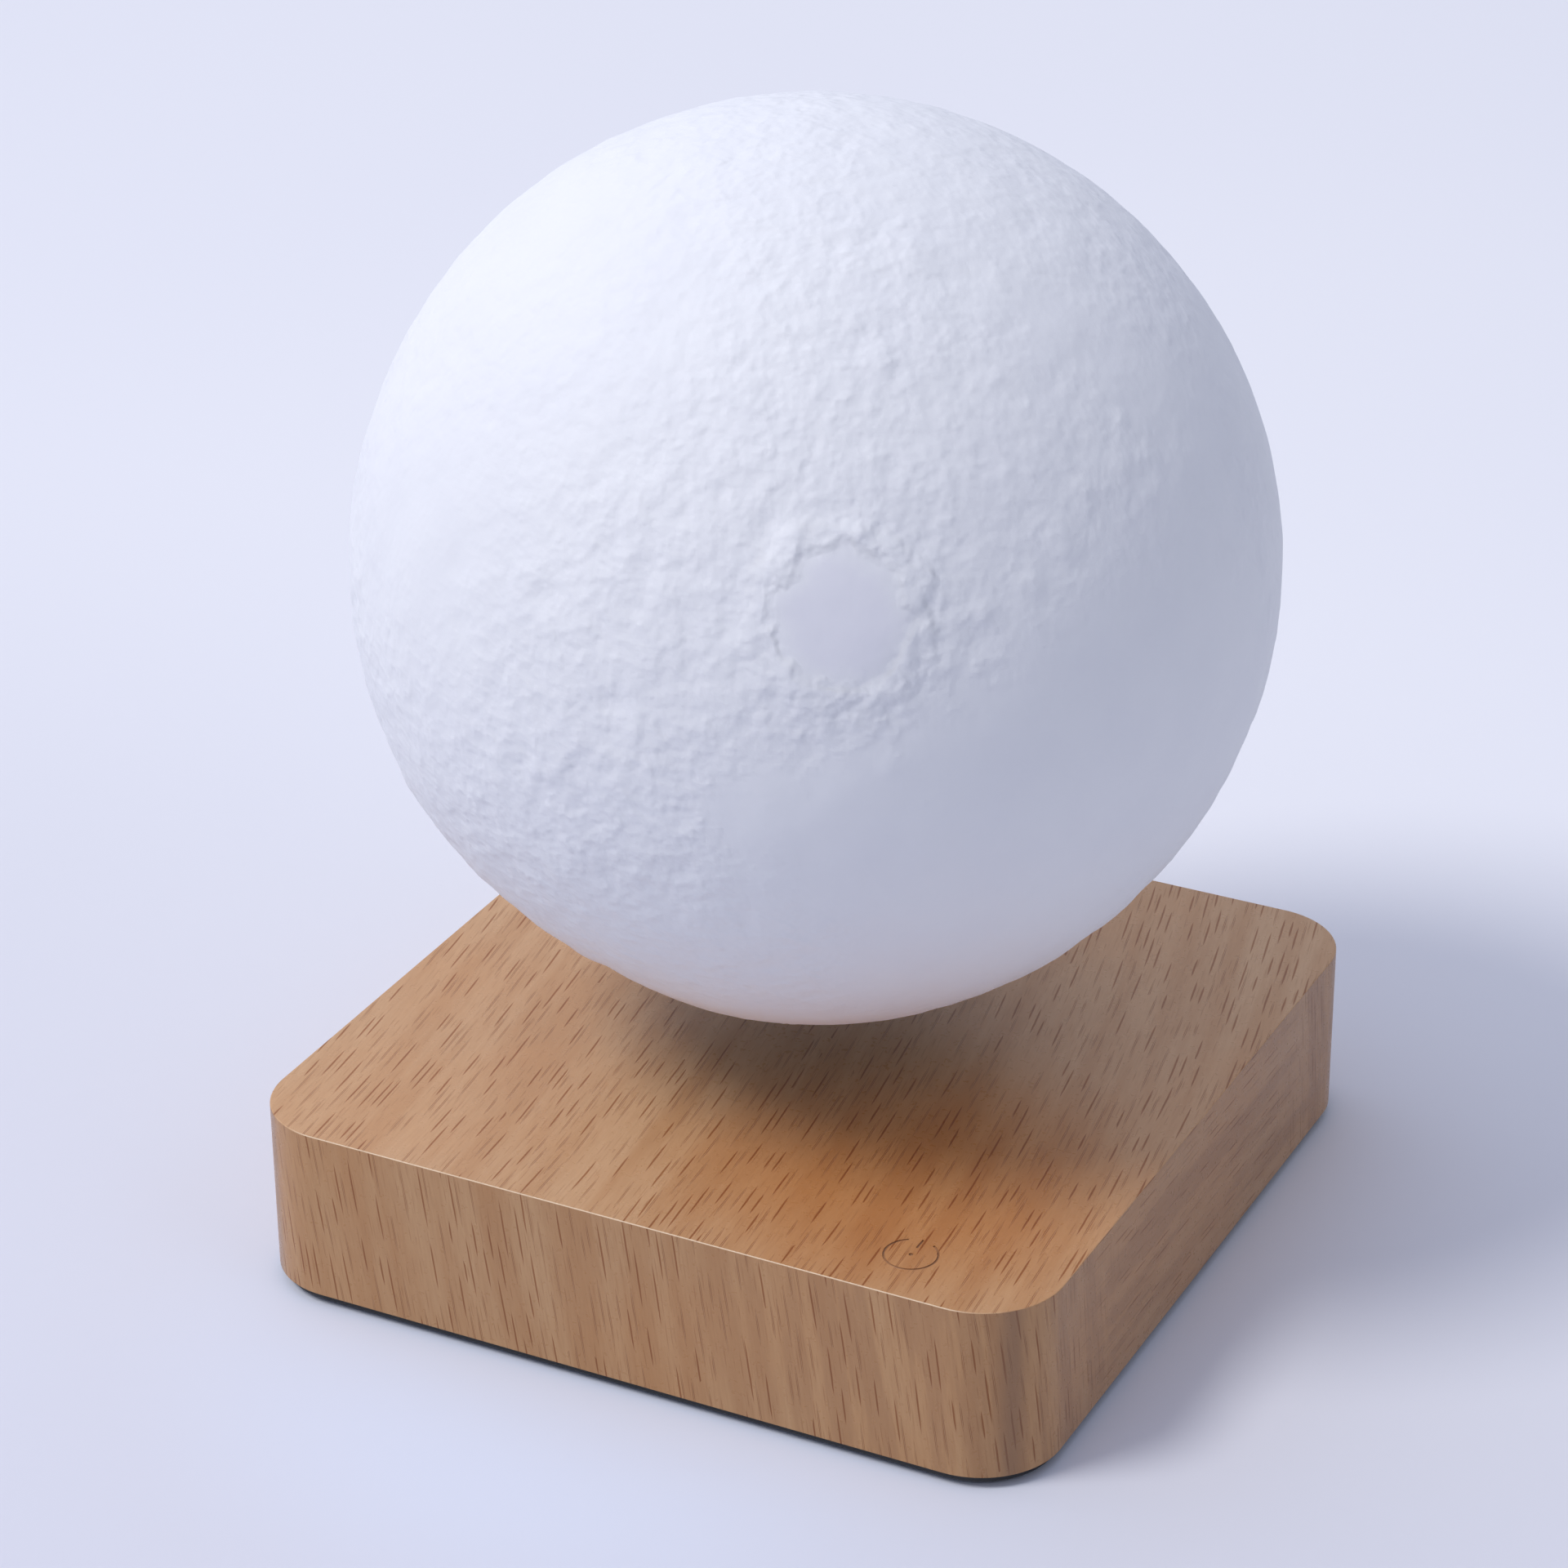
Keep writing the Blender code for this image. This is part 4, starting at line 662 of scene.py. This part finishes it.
# Places on the globe: turn, lift, reach in degrees. First the smooth raised plains
ROUND_PLAIN = (-60.3, 17.8, 8.2)
WIDE_PLAINS = [(-30, -8, 22), (-12, -8, 20), (-58, -10, 13), (-68, -5, 8), (-45, -2, 11), (-38, -32, 20),
               (-60, -16, 7), (-72, -58, 16)]
FAR_PLAINS = [(40, 10, 20), (66, 24, 14), (30, -20, 15), (95, -12, 11), (128, 28, 13), (150, 12, 9),
              (172, -20, 16), (110, 55, 8), (-160, 5, 10), (-150, -40, 14)]
WIDE_HEIGHT = 0.00018
ROUND_HEIGHT = 0.0007
# Land that is rougher or calmer than the rest
WILD_LAND = [(-84, 14, 24), (-94, -12, 20), (150, -50, 30)]
CALM_LAND = [(20, 55, 32), (-122, 40, 30), (-118, 12, 17), (-22, 26, 24)]
# A wide shallow hollow
BASIN = (-104, -42, 36)
BASIN_DEPTH = 0.0014
BOWLS = 900
BOWL_HEIGHT = 0.00008
# Heights: the swell everywhere, lumps and dents on rough land, the round plain's rim, the plains' own swell
SWELL = 0.00018
LUMPS = 0.00023
DENTS = 0.0002
SMALL_LUMPS = 0.00012
RIM_HEIGHT = 0.0002
RIM_CHANGE = 0.0004
PLAIN_SWELL = 0.00006
# The ragged edge round the flat: its height, its scale, and its reach and the relief's start in degrees
RAGGED_HEIGHT = 0.0003
RAGGED_SCALE = 55.0
RAGGED_REACH = 1.6
RELIEF_START = 7.0
HUNDREDTH_MM = 0.00001
# Single pits and bumps, with their height in hundredths of a millimetre
MARKS = [
    (-112, 16, 1.8, -18), (-104, 18, 1.6, -18), (-97, 17, 1.8, -20), (-109, 10, 2.2, -18),
    (-89, 23, 1.6, -22), (-80, 23, 1.6, -20), (-79, 16, 1.6, -18), (-73, 16, 1.5, -16),
    (-81, 40, 2.0, -14), (-87, 2, 2.0, -24), (-90, -10, 1.6, -22), (-80, -15, 1.6, -20),
    (-88, -3, 1.6, -22), (-82, 27, 1.4, -14), (-85, 13, 1.6, -14), (-35, 56, 2.6, -20),
    (-52, 44, 2.2, -20), (-60, 56, 2.0, -16), (-78, 10, 2.0, -18), (-71, 12, 2.0, -16),
    (-19, 29, 1.3, 34), (-26, 28, 1.3, 30), (-16, 34, 1.2, 30), (-37, 32, 1.5, 26), (-63, 31, 1.2, 26),
    (-43, 17, 1.5, 30), (-31, 24, 1.4, 28), (-36, 19, 2.0, 30), (-62, 4, 1.6, 28), (-39, 60, 3.2, 26),
    (-53, 47, 2.6, 28), (-63, 56, 2.2, 20), (-58, 6, 1.5, 28), (-53, 8, 2.0, 28), (-67, 25, 1.8, 24),
    (-75, 25, 1.6, 20), (-55, 0, 1.3, 26), (-69, 5, 1.8, 20), (-35, 61, 1.8, 18), (-14, 29, 1.3, 26),
    (-96, -4, 3.4, 22), (-68, 20, 1.4, 20), (-52, 23, 1.6, 22), (-48, 11, 1.5, 26), (-32, 22, 1.2, 22),
]


def waves(directions, scale):
    """Smooth noise, the mean of two layers turned apart so that no straight lines show."""
    turned = directions @ np.array(Matrix.Rotation(0.9, 3, (0.3, 0.5, 0.8))) * 1.17 + 3.3
    return np.array([0.75 * (noise.noise(Vector(one) * scale) + noise.noise(Vector(other) * scale))
                     for one, other in zip(directions, turned)])


def land(directions):
    """How rough the land is, how high the plains stand, and where the round plain's rim runs."""
    wobble = waves(directions, 6.0) + 0.5 * waves(directions, 14.0)
    bays = waves(directions, 27.0)
    plains = np.zeros(len(directions))
    for turn, lift, reach in WIDE_PLAINS + FAR_PLAINS:
        away = away_from(directions, turn, lift) + 3.2 * wobble + 3.5 * bays
        plains = np.maximum(plains, eased((reach + 4 - away) / 8))
    turn, lift, reach = ROUND_PLAIN
    away = away_from(directions, turn, lift) + 0.6 * wobble + 0.4 * bays
    round_plain = eased((reach + 2.0 - away) / 4.0)
    rim = np.exp(-((away - reach - 2.0) / 2.0) ** 2)
    wild = np.full(len(directions), 0.8)
    for places, change in ((WILD_LAND, 0.2), (CALM_LAND, -0.35)):
        for turn, lift, reach in places:
            wild += change * eased((reach + 5 - away_from(directions, turn, lift) - 6 * wobble) / 12)
    return plains, round_plain, rim, wild


def relief(directions):
    """Height of the print over the plain globe, and the roughness of the land, in one row per direction."""
    plains, round_plain, rim, wild = land(directions)
    rough = (1 - plains) * (1 - round_plain) * wild
    stretch = compass(-25, 52)
    along = directions @ stretch
    drawn = directions - 0.45 * along[:, None] * stretch
    middle = waves(drawn, 17.0)
    fine = waves(drawn, 27.0)
    heights = SWELL * waves(drawn, 9.0)
    heights += rough * (LUMPS * middle - DENTS * middle ** 2 + SMALL_LUMPS * fine)
    heights += rim * (1 - round_plain) * (RIM_HEIGHT + RIM_CHANGE * fine)
    heights += np.maximum(WIDE_HEIGHT * plains, ROUND_HEIGHT * round_plain)
    heights += PLAIN_SWELL * (plains + round_plain) * waves(directions, 15.0)
    dice = random.Random(7)
    for _ in range(BOWLS):
        spot = Vector((dice.gauss(0, 1), dice.gauss(0, 1), dice.gauss(0, 1))).normalized()
        reach = math.radians(1.0 + 2.4 * dice.random() ** 3)
        height = dice.choice((-1, -1, 1)) * BOWL_HEIGHT * (1 + 1.6 * dice.random())
        close = directions @ np.array(spot) > math.cos(reach * 1.7)
        away = np.arccos(np.clip(directions[close] @ np.array(spot), -1, 1)) / reach
        bowl = np.exp(-(away * 1.25) ** 2) - 0.35 * np.exp(-((away - 1.15) * 3.2) ** 2)
        heights[close] += height * bowl * rough[close]
    for turn, lift, reach, height in MARKS:
        away = away_from(directions, turn, lift) / reach
        heights += height * HUNDREDTH_MM * np.exp(-(away * 1.1) ** 2)
    turn, lift, reach = BASIN
    heights -= BASIN_DEPTH * eased(1 - away_from(directions, turn, lift) / reach)
    return heights, np.clip(0.14 + rough + 0.4 * rim, 0, 1)


def globe():
    """The hollow printed globe: fine outside with the relief, plain inside, cut flat and open underneath."""
    bpy.ops.mesh.primitive_cube_add(size=2)
    outer = named("moon_globe")
    bpy.ops.object.mode_set(mode="EDIT")
    bpy.ops.mesh.select_all(action="SELECT")
    bpy.ops.mesh.subdivide(number_cuts=10)
    bpy.ops.mesh.subdivide(number_cuts=10)
    object_mode()
    mesh = outer.data
    places = np.zeros(len(mesh.vertices) * 3)
    mesh.vertices.foreach_get("co", places)
    places = np.tan(places.reshape(-1, 3) * math.pi / 4)
    directions = places / np.linalg.norm(places, axis=1)[:, None]
    mesh.vertices.foreach_set("co", (directions * GLOBE_RADIUS).ravel())
    mesh.update()
    pick(outer, "FACE", lambda centre, normal: True)
    bpy.ops.mesh.bisect(plane_co=(0, 0, FLAT), plane_no=(0, 0, -1), clear_outer=True)
    object_mode()
    count = len(mesh.vertices)
    places = np.zeros(count * 3)
    mesh.vertices.foreach_get("co", places)
    directions = places.reshape(-1, 3)
    directions /= np.linalg.norm(directions, axis=1)[:, None]
    heights, rough = relief(directions)
    over_flat = np.degrees(np.arcsin(directions[:, 2])) - math.degrees(math.asin(FLAT / GLOBE_RADIUS))
    ragged = waves(directions, RAGGED_SCALE) * RAGGED_HEIGHT * np.exp(-(over_flat / RAGGED_REACH) ** 2)
    heights = heights * eased(over_flat / RELIEF_START) + ragged
    spots = directions * (GLOBE_RADIUS + heights)[:, None]
    spots[over_flat < 0.02, 2] = FLAT
    mesh.vertices.foreach_set("co", (spots + np.array(GLOBE_CENTRE)).ravel())
    layer = mesh.attributes.new("roughness_of_land", "FLOAT", "POINT")
    layer.data.foreach_set("value", rough)
    mesh.update()
    inner_radius = GLOBE_RADIUS - GLOBE_WALL
    bpy.ops.mesh.primitive_uv_sphere_add(segments=96, ring_count=48, radius=inner_radius,
                                         location=GLOBE_CENTRE)
    inner = named("globe_inside")
    pick(inner, "FACE", lambda centre, normal: True)
    cut_height = GLOBE_CENTRE.z - math.sqrt(inner_radius ** 2 - OPENING ** 2)
    bpy.ops.mesh.bisect(plane_co=(0, 0, cut_height), plane_no=(0, 0, -1), clear_outer=True)
    bpy.ops.mesh.select_all(action="SELECT")
    bpy.ops.mesh.flip_normals()
    object_mode()
    join_into(outer, [inner])
    low = GLOBE_LOW.z
    pick(outer, "EDGE", lambda a, b: near(a.z, cut_height, 2e-5) and near(b.z, cut_height, 2e-5)
         and near(math.hypot(a.x, a.y), OPENING, 2e-4))
    bpy.ops.mesh.extrude_region_move(TRANSFORM_OT_translate={"value": (0, 0, low - cut_height)})
    object_mode()
    pick(outer, "EDGE", lambda a, b: near(a.z, low, 2e-5) and near(b.z, low, 2e-5))
    bpy.ops.mesh.bridge_edge_loops()
    object_mode()
    face_outwards(outer)
    smooth(outer, 50)
    return outer


# Build the pieces

slots = finishes()
for part in frame["record"]["subparts"]:
    mesh = nodes[part["node"]].data
    finish = slots.get(part["material_slot"])
    if finish:
        mesh.materials.clear()
        mesh.materials.append(finish)

housing = wood_housing()
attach(housing, "base")
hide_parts("base_housing")

moon = globe()
moon.data.materials.clear()
moon.data.materials.append(slots["white_print"])
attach(moon, "moon")
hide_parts("moon_shell")


# Floor, light and camera

def floor():
    """Pale floor with painted light: lighter towards the back, and lighter and bluer close to the lamp,
    painting out the lamp's shadow and warm bounce there.
    """
    bpy.ops.mesh.primitive_circle_add(vertices=96, radius=6.0, fill_type="NGON", location=(0, 0, 0))
    made = named("floor")
    finish = Finish("pale_floor_painted_light")
    # Painted light: the floor is lighter towards the back
    back = finish.spread(finish.apart(finish.places)[1], -0.2, 0.25)
    tone = finish.blend(back, (0.69, 0.695, 0.76), (0.885, 0.885, 0.91))
    shade = finish.spread(finish.clouds(finish.places, 1.2), 0.3, 0.7, 0.0, 0.4)
    tone = finish.blend(shade, tone, (0.77, 0.78, 0.86))
    # Painted light: lighter and bluer close to the lamp, against its shadow and warm bounce
    close = finish.spread(finish.distance(finish.places, (0, -0.05, 0)), 0.04, 0.10, 1.0, 0.0)
    tone = finish.blend(close, tone, (0.76, 0.81, 0.93))
    finish.wear(Base_Color=tone, Roughness=0.8, Specular_IOR_Level=0.1)
    made.data.materials.append(finish.material)


SOFT_LIGHT = (-0.42, 0.10, 0.90)
LAMP_DISTANCE = 4.0


def lamp(name, direction, size, power, colour):
    light = bpy.data.lights.new(name, "AREA")
    light.shape = "DISK"
    light.size = size
    light.energy = power
    light.color = colour
    made = bpy.data.objects.new(name, light)
    bpy.context.scene.collection.objects.link(made)
    towards = Vector(direction).normalized()
    made.location = GLOBE_CENTRE + towards * LAMP_DISTANCE
    made.rotation_euler = towards.to_track_quat("Z", "Y").to_euler()


def surroundings():
    """Soft light from all round, strongest from high on the left, and an even pale backdrop."""
    world = bpy.data.worlds.new("studio")
    bpy.context.scene.world = world
    world.use_nodes = True
    sky = Nodes(world.node_tree)
    way = sky.node("TexCoord").outputs["Generated"]
    facing = sky.node("VectorMath", {0: way, 1: SOFT_LIGHT}, operation="DOT_PRODUCT").outputs["Value"]
    strength = sky.maths("MULTIPLY_ADD", sky.maths("MAXIMUM", facing, 0.0), 0.80, 0.17)
    light = sky.node("Background", {"Color": (0.75, 0.80, 1.0, 1), "Strength": strength})
    backdrop = sky.node("Background", {"Color": (0.76, 0.79, 0.90, 1), "Strength": 1.0})
    seen = sky.node("LightPath").outputs
    either = sky.maths("MAXIMUM", seen["Is Camera Ray"], seen["Is Glossy Ray"])
    either = sky.maths("MAXIMUM", either, seen["Is Transmission Ray"])
    mix = sky.node("MixShader", {0: either, 1: light.outputs[0], 2: backdrop.outputs[0]})
    sky.feed(sky.tree.nodes["World Output"].inputs["Surface"], mix.outputs[0])


def camera():
    lens = bpy.data.cameras.new("camera")
    lens.sensor_width = 36
    lens.lens = 107.8
    lens.clip_start = 0.01
    made = bpy.data.objects.new("camera", lens)
    bpy.context.scene.collection.objects.link(made)
    made.location = (0.3113, -0.6187, 0.4305)
    made.rotation_euler = (math.radians(62.99), math.radians(0.44), math.radians(26.93))
    bpy.context.scene.camera = made


floor()
lamp("key", (-0.41, -0.44, 0.79), size=1.3, power=77, colour=(1.0, 0.975, 0.95))
lamp("left", (-0.68, 0.14, 0.72), size=2.4, power=5, colour=(0.85, 0.89, 1.0))
lamp("fill", (0.85, -0.15, 0.50), size=2.6, power=12, colour=(0.87, 0.90, 1.0))
surroundings()
camera()
bpy.context.scene.view_settings.view_transform = "Standard"
